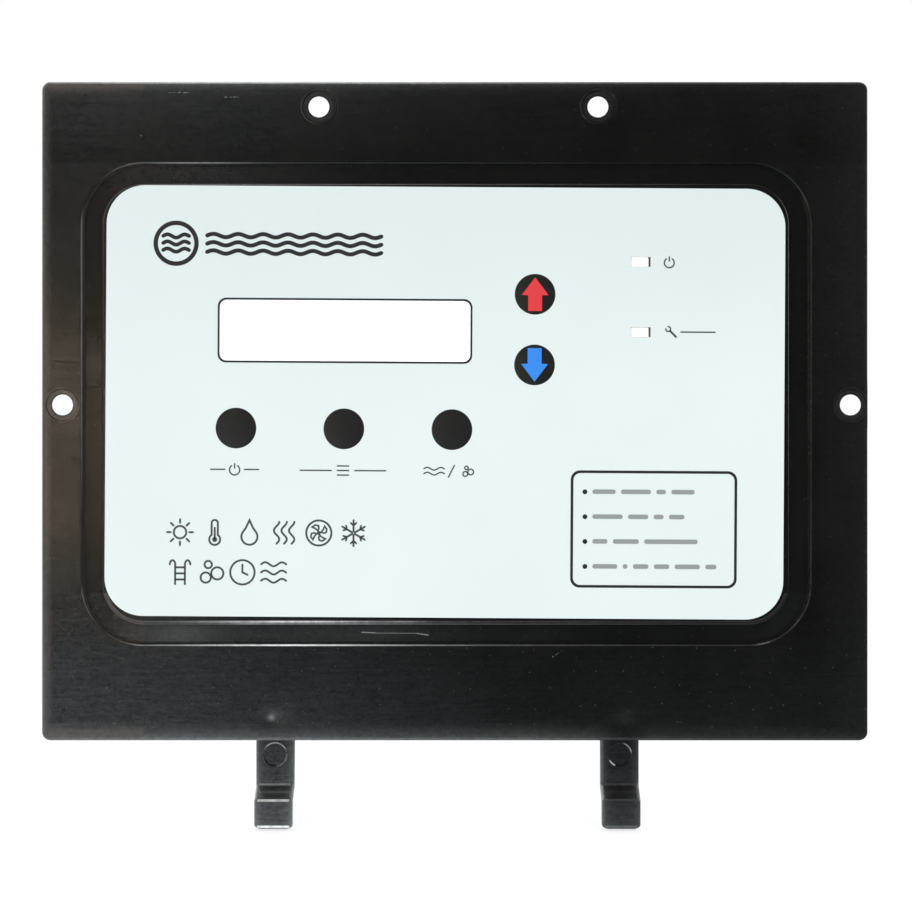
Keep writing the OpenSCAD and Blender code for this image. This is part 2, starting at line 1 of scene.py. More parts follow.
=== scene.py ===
# A wall-mounted control panel: a black bezel with a printed film, a display, five keys and two
# lamps, and the circuit boards behind it. X runs right and Z up as seen from the front, and the
# front faces -Y. Sizes are in millimetres unless noted; MM turns them into metres. The back of
# the bezel's flange is at Y = 0, and the parts on the boards stand towards +Y.
import math
from functools import cached_property, reduce
from operator import add, mul

import bmesh
import bpy
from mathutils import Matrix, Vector, geometry

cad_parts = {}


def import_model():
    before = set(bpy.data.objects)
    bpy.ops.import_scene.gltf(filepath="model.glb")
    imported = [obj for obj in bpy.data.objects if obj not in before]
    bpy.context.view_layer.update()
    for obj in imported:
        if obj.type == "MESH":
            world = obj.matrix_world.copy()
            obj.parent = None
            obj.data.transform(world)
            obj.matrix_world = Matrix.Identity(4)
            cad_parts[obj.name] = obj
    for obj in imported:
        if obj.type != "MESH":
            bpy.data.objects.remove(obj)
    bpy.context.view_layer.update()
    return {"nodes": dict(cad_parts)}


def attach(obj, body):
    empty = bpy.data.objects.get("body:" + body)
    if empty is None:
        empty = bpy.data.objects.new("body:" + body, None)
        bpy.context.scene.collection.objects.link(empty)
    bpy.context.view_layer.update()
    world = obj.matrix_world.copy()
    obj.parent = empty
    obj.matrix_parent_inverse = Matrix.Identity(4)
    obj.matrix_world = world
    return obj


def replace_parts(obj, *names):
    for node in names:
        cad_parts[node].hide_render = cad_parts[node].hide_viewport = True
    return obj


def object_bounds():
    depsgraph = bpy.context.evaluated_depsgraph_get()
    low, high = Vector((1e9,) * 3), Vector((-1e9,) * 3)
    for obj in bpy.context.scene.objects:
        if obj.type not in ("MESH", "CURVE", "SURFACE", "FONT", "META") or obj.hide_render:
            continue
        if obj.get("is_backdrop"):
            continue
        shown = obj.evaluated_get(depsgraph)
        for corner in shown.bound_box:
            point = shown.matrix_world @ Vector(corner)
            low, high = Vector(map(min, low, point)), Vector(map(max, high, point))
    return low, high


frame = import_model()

NODES = frame["nodes"]
PANEL = "panel"
MM = 0.001

# ------------------------------------------------------------------ driving sizes

# depths (Y)
FLANGE_FACE, GROOVE_FLOOR, PAD_FACE, FILM_FACE = -3.0, -1.0, -4.0, -4.25
PAD_BACK = -1.5
BOARD_FRONT, BOARD_BACK = 11.4, 13.0

# the flange: centre, half sizes to its corner centres, corner radius
FLANGE_CENTRE, FLANGE_HALF, FLANGE_CORNER = (-0.5, -1.6), (103.4, 82.1), 2.2
# rounded rectangles: centre, width, height, corner radius
GROOVE = ((-2.65, 0.2), 185.9, 122.8, 15.5)
PAD = ((-2.75, 0.1), 175.4, 112.7, 10.5)
POCKET = (PAD[0], 170.4, 107.7, 8.0)
STEP = (GROOVE[0], 190.4, 127.8, 18.0)

# places (X, Z)
LENS = (-28.4, 18.85)
KEYS = {"on_off": (-56.2, -5.95), "menu": (-28.7, -6.15), "pool_spa": (-1.15, -6.35),
        "up": (20.05, 28.15), "down": (19.9, 10.15)}
LAMPS = ((47.0, 36.4), (47.0, 18.5))
BOSSES = [(x, z) for x in (-78.5, -2.5, 73.5) for z in (-45.6, 44.4)]
TOP_SCREWS = ((-35.2, 76.25), (36.2, 76.25))
SIDE_SCREWS = ((-100.8, 0.0), (100.8, 0.0))
HOOKS = (-47.3, 42.6)
HOOK_MARK_Z = -90.9

KEY_RADIUS = 5.15
CROWN_HEIGHT = 0.35
TILT = math.radians(0.35)   # the print lies this far clockwise on the panel
EYE = (-0.115, -13.07)      # X and Z of the camera


# ------------------------------------------------------------------ node graphs

# middle spans of a noise, stretched by ramps
WIDE, NARROW = (0.3, 0.7), (0.35, 0.65)


def binary(kind, swapped=False):
    def apply(self, other):
        return self.graph.math(kind, *((other, self) if swapped else (self, other)))
    return apply


def unary(kind):
    return lambda self: self.graph.math(kind, self)


class Value:
    """A node output. Arithmetic on it adds math nodes to its graph."""

    def __init__(self, graph, socket):
        self.graph = graph
        self.socket = socket

    def __getitem__(self, key):
        """Another output of the same node."""
        return Value(self.graph, self.socket.node.outputs[key])

    __add__ = binary("ADD")
    __sub__ = binary("SUBTRACT")
    __rsub__ = binary("SUBTRACT", swapped=True)
    __mul__ = binary("MULTIPLY")
    __truediv__ = binary("DIVIDE")
    __pow__ = binary("POWER")
    __lt__ = binary("LESS_THAN")
    __gt__ = binary("GREATER_THAN")
    __abs__ = unary("ABSOLUTE")
    most = binary("MAXIMUM")
    least = binary("MINIMUM")
    root = unary("SQRT")
    fract = unary("FRACT")

    def exp(self):
        return self.graph.math("POWER", 2.718, self)

    def ramp(self, span, to=(0.0, 1.0), curve="LINEAR"):
        """Maps a span of this value to another, clamped at both ends."""
        return self.graph.node("ShaderNodeMapRange", dict(enumerate((self, *span, *to))),
                               interpolation_type=curve)

    def smooth(self, span, to=(0.0, 1.0)):
        return self.ramp(span, to, curve="SMOOTHSTEP")

    def bell(self, at, width):
        return (abs((self - at) / width) ** 2.0 * -1.0).exp()

    def line(self, at, half, soft):
        """1 within half of a value, fading to 0 over soft."""
        return abs(self - at).ramp(span=(half, half + soft), to=(1.0, 0.0))


def length(u, v):
    return (u * u + v * v).root()


def strongest(*values):
    return reduce(Value.most, values)


def bells(value, *terms):
    """Sum of bells, each given as (centre, width, strength)."""
    return reduce(add, [value.bell(at, width) * strength for at, width, strength in terms])


class Graph:
    """Makes and links the nodes of one tree."""

    def __init__(self, tree):
        self.tree = tree

    def put(self, source, socket):
        """Links a Value to an input, or stores a number, vector or colour there."""
        if isinstance(source, Value):
            self.tree.links.new(source.socket, socket)
            return
        if isinstance(source, tuple) and len(socket.default_value) == 4:
            source += (1.0,)
        socket.default_value = source

    def node(self, kind, inputs=None, **settings):
        """Adds a node and returns its first output."""
        node = self.tree.nodes.new(kind)
        for key, setting in settings.items():
            setattr(node, key, setting)
        for key, source in (inputs or {}).items():
            self.put(source, node.inputs[key])
        return Value(self, node.outputs[0])

    def math(self, kind, *sources, clamp=False):
        return self.node("ShaderNodeMath", dict(enumerate(sources)),
                         operation=kind, use_clamp=clamp)

    def split(self, vector):
        parts = self.node("ShaderNodeSeparateXYZ", {0: vector})
        return [parts[i] for i in range(3)]

    def scale(self, vector, factor):
        return self.node("ShaderNodeVectorMath", {0: vector, "Scale": factor},
                         operation="SCALE")

    def mix_shader(self, factor, first, second):
        return self.node("ShaderNodeMixShader", {0: factor, 1: first, 2: second})


class Material(Graph):
    """A material's graph round its Principled BSDF."""

    INPUTS = {"color": "Base Color", "rough": "Roughness", "metal": "Metallic",
              "normal": "Normal", "spec": "Specular IOR Level", "coat": "Coat Weight",
              "coat_rough": "Coat Roughness", "trans": "Transmission Weight", "ior": "IOR",
              "emit": "Emission Color", "emit_strength": "Emission Strength"}

    def __init__(self, name):
        self.material = bpy.data.materials.new(name)
        self.material.use_nodes = True
        super().__init__(self.material.node_tree)
        self.surface = Value(self, self.tree.nodes["Principled BSDF"].outputs[0])

    @cached_property
    def place(self):
        """Object position in millimetres."""
        return self.scale(self.node("ShaderNodeTexCoord")["Object"], 1000.0)

    def noise(self, scale=1.0, detail=3.0, rough=0.55, stretch=None):
        place = self.place
        if stretch:
            place = self.node("ShaderNodeMapping", {"Vector": place, "Scale": stretch})
        return self.node("ShaderNodeTexNoise", {"Vector": place, "Scale": scale,
                                                "Detail": detail, "Roughness": rough})["Fac"]

    def mix(self, factor, first, second):
        return self.node("ShaderNodeMix", {6: first, 7: second, 0: factor},
                         data_type="RGBA")[2]

    def bump(self, height, distance, normal=None):
        inputs = {"Distance": distance * MM, "Strength": 1.0, "Height": height}
        if normal:
            inputs["Normal"] = normal
        return self.node("ShaderNodeBump", inputs)

    def finish(self, **values):
        """Sets the BSDF's inputs and returns the material."""
        for key, source in values.items():
            self.put(source, self.surface.socket.node.inputs[self.INPUTS[key]])
        return self.material

    def show(self, shader):
        self.put(shader, self.tree.nodes["Material Output"].inputs["Surface"])


# ------------------------------------------------------------------ general finishes

def plain(name, color, rough=0.45, metal=0.0, vary=0.12, grain=6.0, bump=0.01, coat=0.0):
    """A moulded or plated surface: slow colour drift, uneven roughness, fine grain."""
    m = Material(name)
    drift = m.noise(scale=0.35)
    fine = m.noise(scale=grain, detail=4.0, rough=0.6)
    dark = tuple(c * (1 - vary) for c in color)
    light = tuple(min(1.0, c * (1 + vary)) for c in color)
    return m.finish(color=m.mix(drift.ramp(NARROW), dark, light),
                    rough=fine.ramp(WIDE, to=(rough - 0.08, rough + 0.08)), metal=metal,
                    normal=m.bump(fine, distance=bump), spec=0.5, coat=coat, coat_rough=0.15)


def film_paper():
    """Printed polyester: pale blue-white, with painted shade making it a touch deeper towards
    the top edge.
    """
    m = Material("film_pale")
    drift = m.noise(scale=0.02, detail=2.0)
    fine = m.noise(scale=7.0, detail=4.0, rough=0.7)
    z = m.split(m.place)[2]
    color = m.mix(drift.ramp(WIDE), (0.770, 0.862, 0.852), (0.800, 0.885, 0.878))
    color = m.mix(fine.ramp(NARROW, to=(0.0, 0.06)), color, (0.70, 0.80, 0.80))
    # painted shade: darker towards the top
    color = m.mix(z.ramp(span=(5.0, 55.0), to=(0.0, 0.32)), color, (0.60, 0.71, 0.705))
    return m.finish(color=color, rough=fine.ramp(WIDE, to=(0.42, 0.55)),
                    normal=m.bump(fine, distance=0.004), spec=0.35)


def ink(name, color, rough=0.42):
    m = Material(name)
    fine = m.noise(scale=14.0, rough=0.7)
    light = tuple(min(1, c * 1.35 + 0.006) for c in color)
    return m.finish(color=m.mix(fine.ramp(NARROW, to=(0.0, 0.35)), color, light),
                    rough=fine.ramp(WIDE, to=(rough - 0.06, rough + 0.08)),
                    normal=m.bump(fine, distance=0.003), spec=0.4)


def lens_clear():
    """A clear sheet that lets light and shadows through."""
    m = Material("lens_clear")
    tint = (0.97, 0.985, 0.99)
    fine = m.noise(scale=3.0)
    m.finish(color=tint, rough=fine.ramp(WIDE, to=(0.03, 0.07)), trans=1.0, ior=1.49,
             normal=m.bump(fine, distance=0.001))
    ray = m.node("ShaderNodeLightPath")
    passing = m.node("ShaderNodeBsdfTransparent", {0: tint})
    m.show(m.mix_shader(ray["Is Shadow Ray"].most(ray["Is Diffuse Ray"]), m.surface, passing))
    return m.material


def key_finish():
    m = Material("key_black")
    fine = m.noise(scale=10.0, detail=4.0, rough=0.7)
    drift = m.noise(scale=0.6, detail=2.0)
    color = m.mix(drift.ramp(NARROW), (0.0100, 0.0104, 0.0092), (0.0135, 0.0132, 0.0125))
    return m.finish(color=color, rough=fine.ramp(WIDE, to=(0.36, 0.46)),
                    normal=m.bump(fine, distance=0.006), spec=0.42)


def lcd_face():
    """Display face: pale, evenly lit, with character cells a breath darker than the ground."""
    column, row = 3.55, 5.95            # cell pitches, 16 columns by 2 rows
    half_width, half_height = column * 8, row
    dots_across, dots_down = 5.95, 8.5  # dot pitches in one cell
    m = Material("lcd_pale")
    x, _, z = m.split(m.place)
    u = ((x + (half_width - LENS[0])) / column).fract()
    v = ((z - (LENS[1] - half_height)) / row).fract()
    cell = (u < 0.84) * (v < 0.94)
    dot_u = (u * dots_across).fract() < 0.9
    dot_v = (v * dots_down).fract() < 0.9
    in_x = abs(x + -LENS[0]) < half_width
    in_z = abs(z - LENS[1]) < half_height
    dots = cell * dot_u * (dot_v * (in_x * in_z))
    drift = m.noise(scale=0.05, detail=2.0)
    ground = m.mix(drift.ramp(WIDE), (0.90, 0.93, 0.915), (0.93, 0.95, 0.94))
    color = m.mix(dots * 0.022, ground, (0.45, 0.50, 0.46))
    return m.finish(color=color, rough=0.22, spec=0.3, emit=color, emit_strength=0.95,
                    coat=0.3, coat_rough=0.08)


def lamp_finish():
    m = Material("lamp_milky")
    fine = m.noise(scale=4.0)
    color = m.mix(fine.ramp(WIDE), (0.90, 0.885, 0.82), (0.95, 0.94, 0.89))
    return m.finish(color=color, rough=fine.ramp(WIDE, to=(0.28, 0.38)), spec=0.5,
                    emit=color, emit_strength=0.35, normal=m.bump(fine, distance=0.004))


def mask_green():
    m = Material("solder_mask")
    fine = m.noise(scale=6.0, detail=4.0)
    drift = m.noise(scale=0.08)
    color = m.mix(drift.ramp(NARROW), (0.010, 0.105, 0.040), (0.014, 0.140, 0.055))
    return m.finish(color=color, rough=fine.ramp(WIDE, to=(0.22, 0.34)),
                    normal=m.bump(fine, distance=0.006), coat=0.35, coat_rough=0.12)


def trace_green():
    m = Material("trace_under_mask")
    fine = m.noise(scale=6.0, detail=4.0)
    return m.finish(color=(0.030, 0.215, 0.085), rough=fine.ramp(WIDE, to=(0.2, 0.32)),
                    coat=0.35, coat_rough=0.12, normal=m.bump(fine, distance=0.004))


# ------------------------------------------------------------------ bezel plastic

# sink marks: X, Z, radius
SINKS = ((-47.0, -80.0, 3.4), (43.4, -80.8, 3.0))
# painted glints above the hooks: X, X width, Z, Z width, strength
PAINTED_GLINTS = ((-47.2, 0.9, -79.9, 0.75, 0.13), (-46.5, 3.2, -79.3, 1.8, 0.020),
         (43.2, 2.2, -80.6, 1.6, 0.008))
# painted highlights on the screw seats: left, right, top left, top right
SEAT_HIGHLIGHTS = (0.030, 0.012, 0.016, 0.010)
# per hook, painted highlights and reflections: paleness of the sides, of the slope and of the
# joggle lines (upper, middle, end), then arcs round the mark: direction in degrees, cosines
# where it starts and is full, strength
PAINTED_HOOK_HIGHLIGHTS = (
    (0.135, 0.028, (0.21, 0.48, 0.85),
     ((84.0, 0.30, 0.75, 0.42), (-52.0, 0.80, 0.95, 0.16), (-15.0, 0.93, 0.99, 0.20))),
    (0.075, 0.012, (0.050, 0.028, 0.075),
     ((40.0, 0.80, 0.95, 0.42), (228.0, 0.93, 0.985, 0.85))),
)
# scuffs and scratches: X start, X end, Z, slope, half width, strength
SCUFFS = ((-73.6, -68.4, 79.8, 0.0, 0.14, 1.0), (-59.3, -55.5, 78.65, 0.0, 0.12, 1.0),
          (-81.3, -80.4, 69.2, -0.6, 0.12, 1.0), (24.5, 26.3, -64.5, 0.7, 0.10, 1.0))
SCRATCHES = ((-24.4, -20.8, -58.3, -0.04, 0.20, 1.0), (-20.8, -10.2, -58.5, -0.008, 0.18, 0.55),
             (-10.2, -7.2, -58.6, -0.14, 0.20, 0.95))


class BezelPlastic(Material):
    """Moulded black plastic: flow streaks, mottling, sink marks, scuffs and painted highlights.
    The painted highlight and reflection terms add up to how far the colour turns pale."""

    def __init__(self):
        super().__init__("bezel_black")
        self.x, self.y, self.z = self.split(self.place)
        self.front = self.y.ramp(span=(-0.6, -0.2), to=(1.0, 0.0))
        self.low = self.z < -48.0
        self.high = self.z > 46.0
        self.at_left = self.x < -88.0
        self.groove = self.outline_distance(*GROOVE)
        self.pad = self.outline_distance(*PAD)
        self.rim = self.groove.line(at=0.23, half=0.10, soft=0.16)
        self.floor = (self.groove < -0.45) * (self.pad > 0.25)
        self.from_screws = [length(self.x - x, self.z - z) for x, z in SIDE_SCREWS + TOP_SCREWS]

    def outline_distance(self, centre, width, height, radius):
        """Signed distance to a rounded rectangle in the XZ plane."""
        u = abs(self.x - centre[0]) - (width / 2 - radius)
        v = abs(self.z - centre[1]) - (height / 2 - radius)
        outside = length(u.most(0.0), v.most(0.0))
        return outside + u.most(v).least(0.0) - radius

    def moulding(self):
        """Unworn colour, roughness, specular level and normal."""
        z = self.z
        streak = self.noise(stretch=(0.035, 0.5, 5.5), rough=0.6)
        streak_short = self.noise(stretch=(0.10, 0.5, 2.6), rough=0.65)
        mottle = self.noise(stretch=(0.55, 0.5, 0.9), detail=4.0, rough=0.72)
        speckle = self.noise(stretch=(1.3, 1.0, 1.6), rough=0.7)
        grain = self.noise(scale=9.0, rough=0.65)
        cloud = self.noise(scale=0.045, rough=0.5)
        color = self.mix(cloud.ramp(NARROW), (0.0034, 0.0034, 0.0030), (0.0054, 0.0053, 0.0050))
        rough = streak.ramp(WIDE, to=(0.128, 0.188)) + grain.ramp(WIDE, to=(-0.02, 0.02))
        rough = rough + cloud.ramp(NARROW, to=(-0.02, 0.04))
        spec = streak_short.ramp(WIDE, to=(0.40, 0.60)) + mottle.ramp(WIDE, to=(-0.16, 0.16))
        spec = spec + speckle.ramp(WIDE, to=(-0.165, 0.165))
        top_band = z > 61.9
        spec = spec * (top_band * z.ramp(span=(64.0, 79.0), to=(0.74, 1.36)) + (1.0 - top_band))
        height = streak * 0.55 + streak_short * 0.25 + grain * 0.35
        normal = self.bump(height, distance=0.018)
        dips = reduce(add, [self.sink(*sink) for sink in SINKS])
        return color, rough, spec, self.bump(dips * -1.0, distance=0.20, normal=normal)

    def sink(self, x, z, radius):
        u = (self.x - x) * 0.75
        v = self.z - z
        return ((u * u + v * v) * (-1.0 / (radius * radius))).exp()

    def painted_rim_highlights(self):
        """Painted highlights on the groove rim and pad edge."""
        x, z, low, high, pad = self.x, self.z, self.low, self.high, self.pad
        rim_low = bells(x, (-44.0, 22.0, 0.80), (-8.0, 16.0, 0.04)) * low
        rim_high = bells(x, (-67.0, 12.0, 0.165), (-45.0, 22.0, 0.006)) * high
        middle = z.ramp(span=(-22.0, -4.0)) * z.ramp(span=(46.0, 52.0), to=(1.0, 0.0))
        rim_left = middle * ((x < -80.0) * 0.028)
        rim_glint = self.rim * (rim_low + rim_high + (rim_left + 0.003))
        fade = x.ramp(span=(-20.0, 60.0), to=(0.055, 0.022))
        inner = bells(x, (-43.0, 18.0, 0.64), (-14.0, 5.0, 0.10)) + fade
        outer = bells(x, (-36.0, 22.0, 0.16), (-53.0, 5.0, 0.10)) + fade * 0.55
        pad_low = pad.line(at=-0.93, half=0.05, soft=0.28) * (inner * low)
        pad_low = pad_low + pad.line(at=-0.40, half=0.04, soft=0.24) * (outer * low)
        pad_high = x.bell(at=-70.0, width=14.0) * high * 0.03
        pad_high = pad.line(at=-0.30, half=0.15, soft=0.30) * pad_high
        return strongest(rim_glint, pad_low, pad_high)

    def painted_flange_highlights(self):
        """Painted highlights and reflections on the outer edges of the flange."""
        x, z = self.x, self.z
        low = z.ramp(span=(-85.9, -79.4), to=(1.0, 0.0)) ** 2.6 * (
            x.ramp(span=(20.0, 60.0), to=(0.068, 0.022))
            + x.ramp(span=(-70.0, -20.0), to=(0.030, 0.0)))
        low = low * (z > -85.95)
        low = low * (1.0 - x.bell(at=HOOKS[1], width=5.6) * 0.85)
        top = (z - 82.7).least(0.0).exp() * (
            x.ramp(span=(-75.0, 0.0), to=(0.135, 0.060))
            + x.ramp(span=(15.0, 60.0), to=(0.0, -0.042)))
        right = (x.ramp(span=(90.5, 105.1), to=(0.0, 0.0055))
                 + x.ramp(span=(103.9, 105.0), to=(0.0, 0.006)))
        left = (x.ramp(span=(-106.1, -103.0), to=(1.0, 0.0)) ** 1.5
                * z.ramp(span=(-20.0, 60.0), to=(0.052, 0.034)))
        return strongest(low, left, top, right)

    def painted_glints(self):
        # painted highlight: pale spots where the sink marks catch the light
        return reduce(add, [self.x.bell(x, x_width) * self.z.bell(z, z_width) * strength
                            for x, x_width, z, z_width, strength in PAINTED_GLINTS])

    def painted_groove_wall_line(self):
        # painted highlight: a thin pale line on the groove's outer wall, strongest at the left
        edge = self.groove.line(at=-0.02, half=0.10, soft=0.10)
        return (edge * self.y.ramp(span=(-2.72, -2.60))
                * self.x.ramp(span=(-94.0, -80.0), to=(0.038, 0.004)))

    def painted_floor_sheen(self):
        """Broad painted sheen on the groove's floor, a painted reflection."""
        x, z = self.x, self.z
        lower = (bells(x, (-71.0, 9.0, 0.038), (-35.0, 38.0, 0.012))
                 + (bells(x, (-22.0, 7.0, 0.0045)) + 0.0022))
        sheen = lower * self.low + bells(x, (-65.0, 16.0, 0.009)) * self.high
        sheen = sheen + bells(z, (11.0, 5.0, 0.012)) * self.at_left
        sheen = sheen + (x > 80.0) * z.ramp(span=(-8.0, 4.0), to=(0.0025, 0.0))
        return sheen * self.floor

    def painted_seat_highlight(self, radius, strength):
        # painted highlight: a pale seat ring and lip round each screw hole
        seat = (radius.ramp(span=(2.8, 3.0))
                * radius.ramp(span=(3.85, 4.0), to=(1.0, 0.0)))
        lip = radius.line(at=4.32, half=0.06, soft=0.14)
        return (seat * strength + lip * (strength * 0.9)) * self.front

    def painted_hook_highlights(self, centre, side, slope, lines, arcs, below):
        """Painted highlights and reflections on one hook: pale rounded sides, joggle lines and
        arcs round its mark.
        """
        y, z = self.y, self.z
        upper, middle, end = lines
        u = self.x - centre
        out = abs(u).least(6.0)
        painted_highlight = ((out - 5.0) / 0.85).exp() * side
        painted_highlight = painted_highlight + (z.ramp(span=(-98.9, -98.6), to=(1.0, 0.0))
                       * z.ramp(span=(-102.0, -101.7))) * slope
        across = out.ramp(span=(4.0, 4.3), to=(1.0, 0.0)) * (y < 8.2)
        # joggle lines: Z, half width, softness, strength
        for at, half, soft, strength in (
                (-98.65, 0.12, 0.22, upper), (-100.2, 0.10, 0.30, upper * 0.2),
                (-102.0, 0.14, 0.26, middle), (-108.75, 0.22, 0.16, end)):
            painted_highlight = painted_highlight + z.line(at, half, soft) * across * strength
        painted_highlight = painted_highlight + z.ramp(span=(-103.0, -108.6)) * (slope * 0.8)
        v = z - HOOK_MARK_Z
        radius = length(u, v)
        ring = radius.line(at=3.05, half=0.07, soft=0.13) * (y < 8.2)
        for degrees, start, full, strength in arcs:
            angle = math.radians(degrees)
            cosine = (u * math.cos(angle) + v * math.sin(angle)) / radius.most(0.01)
            painted_highlight = painted_highlight + ring * cosine.ramp(span=(start, full)) * strength
        painted_highlight = painted_highlight + ring * 0.006
        return painted_highlight * ((out < 5.3) * below)

    def scuff(self, start, end, height, slope, width, strength):
        x = self.x
        along = (x > start) * (x < end)
        middle = (x - start) * slope + height
        return along * abs(self.z - middle).ramp(span=(0.0, width), to=(strength, 0.0))

    def scuffs(self):
        """Broken-up short scuffs and one longer scratch in the groove."""
        broken = self.noise(stretch=(1.4, 1.0, 3.0), detail=2.0).ramp(span=(0.46, 0.58))
        short = strongest(*[self.scuff(*row) for row in SCUFFS]) * broken
        return strongest(short, *[self.scuff(*row) for row in SCRATCHES]) * self.front

    def dust(self):
        """Specks, thickest along the bottom."""
        flat = self.node("ShaderNodeCombineXYZ", {0: self.x, 1: self.z})
        cells = self.node("ShaderNodeTexVoronoi", {"Vector": flat, "Scale": 0.21},
                          voronoi_dimensions="2D")
        specks = (cells["Distance"].ramp(span=(0.022, 0.044), to=(1.0, 0.0))
                  * cells["Color"].ramp(span=(0.25, 0.80)))
        return specks * self.z.ramp(span=(-62.0, -56.0), to=(1.0, 0.45)) * self.front

    def dulled(self, spec):
        """Specular level cut in the groove, on its rim and at the screw seats."""
        factors = [1.0 - self.floor * self.at_left * 0.28]
        edge = self.rim * strongest(self.high * self.x.ramp(span=(-60.0, -45.0)),
                                    self.x > 80.0)
        factors.append(1.0 - edge * self.front * 0.5)
        for radius in self.from_screws:
            edge = strongest(radius.line(at=4.10, half=0.07, soft=0.13),
                             radius.line(at=2.80, half=0.05, soft=0.10))
            factors.append(1.0 - edge * self.front * 0.75)
        return reduce(mul, factors, spec)

    def build(self):
        front = self.front
        color, rough, spec, normal = self.moulding()
        below = self.z < -86.0
        # painted highlights and reflections: pale rim and edge lines, glints, groove-floor
        # sheen, screw seats and hook lines
        painted_highlight = reduce(add, [
            (self.painted_rim_highlights() + self.painted_flange_highlights()) * front,
            self.painted_glints() * front, self.painted_groove_wall_line() * front, self.painted_floor_sheen() * front,
            *[self.painted_seat_highlight(*pair) for pair in zip(self.from_screws, SEAT_HIGHLIGHTS)],
            *[self.painted_hook_highlights(centre, *row, below) for centre, row in zip(HOOKS, PAINTED_HOOK_HIGHLIGHTS)]])
        uneven = self.noise(stretch=(0.9, 0.9, 0.9), rough=0.6).ramp(WIDE, to=(0.72, 1.28))
        painted_highlight = self.math("MULTIPLY", painted_highlight, uneven, clamp=True)
        color = self.mix(painted_highlight, color, (0.97, 1.0, 1.0))
        # painted reflection: a warm tint where the painted highlights lie at the left
        warm_reflection = (self.x < -80.0) * front * painted_highlight.ramp(span=(0.0, 0.03), to=(0.0, 0.35))
        color = self.mix(warm_reflection, color, (0.100, 0.076, 0.062))
        marks = self.math("MAXIMUM", self.scuffs() * 0.75, self.dust() * 0.10, clamp=True)
        color = self.mix(marks, color, (0.42, 0.44, 0.45))
        return self.finish(color=color, rough=rough + marks * 0.3, normal=normal,
                           spec=self.dulled(spec))


# ------------------------------------------------------------------ mesh helpers

def rounded_rect(centre, width, height, radius, steps, offset=0.0):
    """Outline, counter-clockwise in X and Z, grown by offset."""
    width, height = width + 2 * offset, height + 2 * offset
    radius = max(radius + offset, 0.04)
    points = []
    for k, (side_x, side_z) in enumerate(((1, 1), (-1, 1), (-1, -1), (1, -1))):
        x = centre[0] + side_x * (width / 2 - radius)
        z = centre[1] + side_z * (height / 2 - radius)
        for i in range(steps + 1):
            t = math.radians(90 * k + 90 * i / steps)
            points.append((x + radius * math.cos(t), z + radius * math.sin(t)))
    return points


def grown_rect(shape, steps):
    """Function from an offset to the rounded rectangle grown by it."""
    return lambda offset: rounded_rect(*shape, steps, offset)


def circle(centre, radius, count=48):
    return [(centre[0] + radius * math.cos(2 * math.pi * i / count),
             centre[1] + radius * math.sin(2 * math.pi * i / count)) for i in range(count)]


def circles(centre, count=48):
    """Function from a radius to the circle."""
    return lambda radius: circle(centre, radius, count)


def quarter(steps):
    """Angles of a quarter turn, without the start."""
    return [math.radians(90 * i / steps) for i in range(1, steps + 1)]


def inside(point, polygon):
    x, z = point
    hit = False
    for i, (xi, zi) in enumerate(polygon):
        xj, zj = polygon[i - 1]
        if (zi > z) != (zj > z) and x < (xj - xi) * (z - zi) / (zj - zi) + xi:
            hit = not hit
    return hit


class Shell:
    """Collects loops at given depths and joins them into one closed mesh."""

    def __init__(self):
        self.vertices = []
        self.faces = []

    def raw(self, points):
        first = len(self.vertices)
        self.vertices += points
        return list(range(first, first + len(points)))

    def loop(self, points, y):
        return self.raw([(x, y, z) for x, z in points])

    def bridge(self, first, second):
        count = len(first)
        for i in range(count):
            j = (i + 1) % count
            self.faces.append((first[i], first[j], second[j], second[i]))
        return second

    def sweep(self, start, outline, rows):
        """Bridges start through outline(size) at each (size, y) and returns the last loop."""
        for size, y in rows:
            start = self.bridge(start, self.loop(outline(size), y))
        return start

    def fill(self, outer, holes=(), axes=(0, 2)):
        """Triangulates the flat area inside outer and outside the holes."""
        indices, edges, polygons = [], [], []
        for ids in [outer, *holes]:
            first, count = len(indices), len(ids)
            edges += [(first + j, first + (j + 1) % count) for j in range(count)]
            indices += ids
            polygons.append([tuple(self.vertices[i][a] for a in axes) for i in ids])
        flat = [Vector(p) for polygon in polygons for p in polygon]
        out = geometry.delaunay_2d_cdt(flat, edges, [], 0, 1e-6)
        points, faces, origins = out[0], out[2], out[3]
        for face in faces:
            middle = [sum(points[i][a] for i in face) / len(face) for a in (0, 1)]
            if not inside(middle, polygons[0]) or any(inside(middle, p) for p in polygons[1:]):
                continue
            ids = [indices[origins[i][0]] for i in face]
            if len(set(ids)) == len(ids):
                self.faces.append(tuple(ids))

    def build(self, name, material, slot, body=PANEL, merge=1e-4, smooth=35.0):
        mesh = bpy.data.meshes.new(name)
        mesh.from_pydata([(x * MM, y * MM, z * MM) for x, y, z in self.vertices], [], self.faces)
        bm = bmesh.new()
        bm.from_mesh(mesh)
        bmesh.ops.remove_doubles(bm, verts=bm.verts, dist=merge * MM)
        bmesh.ops.dissolve_degenerate(bm, dist=1e-8, edges=bm.edges)
        bmesh.ops.recalc_face_normals(bm, faces=bm.faces)
        bm.to_mesh(mesh)
        bm.free()
        return place_mesh(name, mesh, material, body, smooth)


def place_mesh(name, mesh, material, body, smooth):
    """Makes the object; smooth is the sharp-edge angle in degrees, or None for flat faces."""
    obj = bpy.data.objects.new(name, mesh)
    bpy.context.scene.collection.objects.link(obj)
    mesh.materials.append(material)
    if smooth:
        for polygon in mesh.polygons:
            polygon.use_smooth = True
        mesh.set_sharp_from_angle(angle=math.radians(smooth))
        normals = obj.modifiers.new("normals", "WEIGHTED_NORMAL")
        normals.keep_sharp = True
        normals.weight = 50
    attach(obj, body)
    return obj


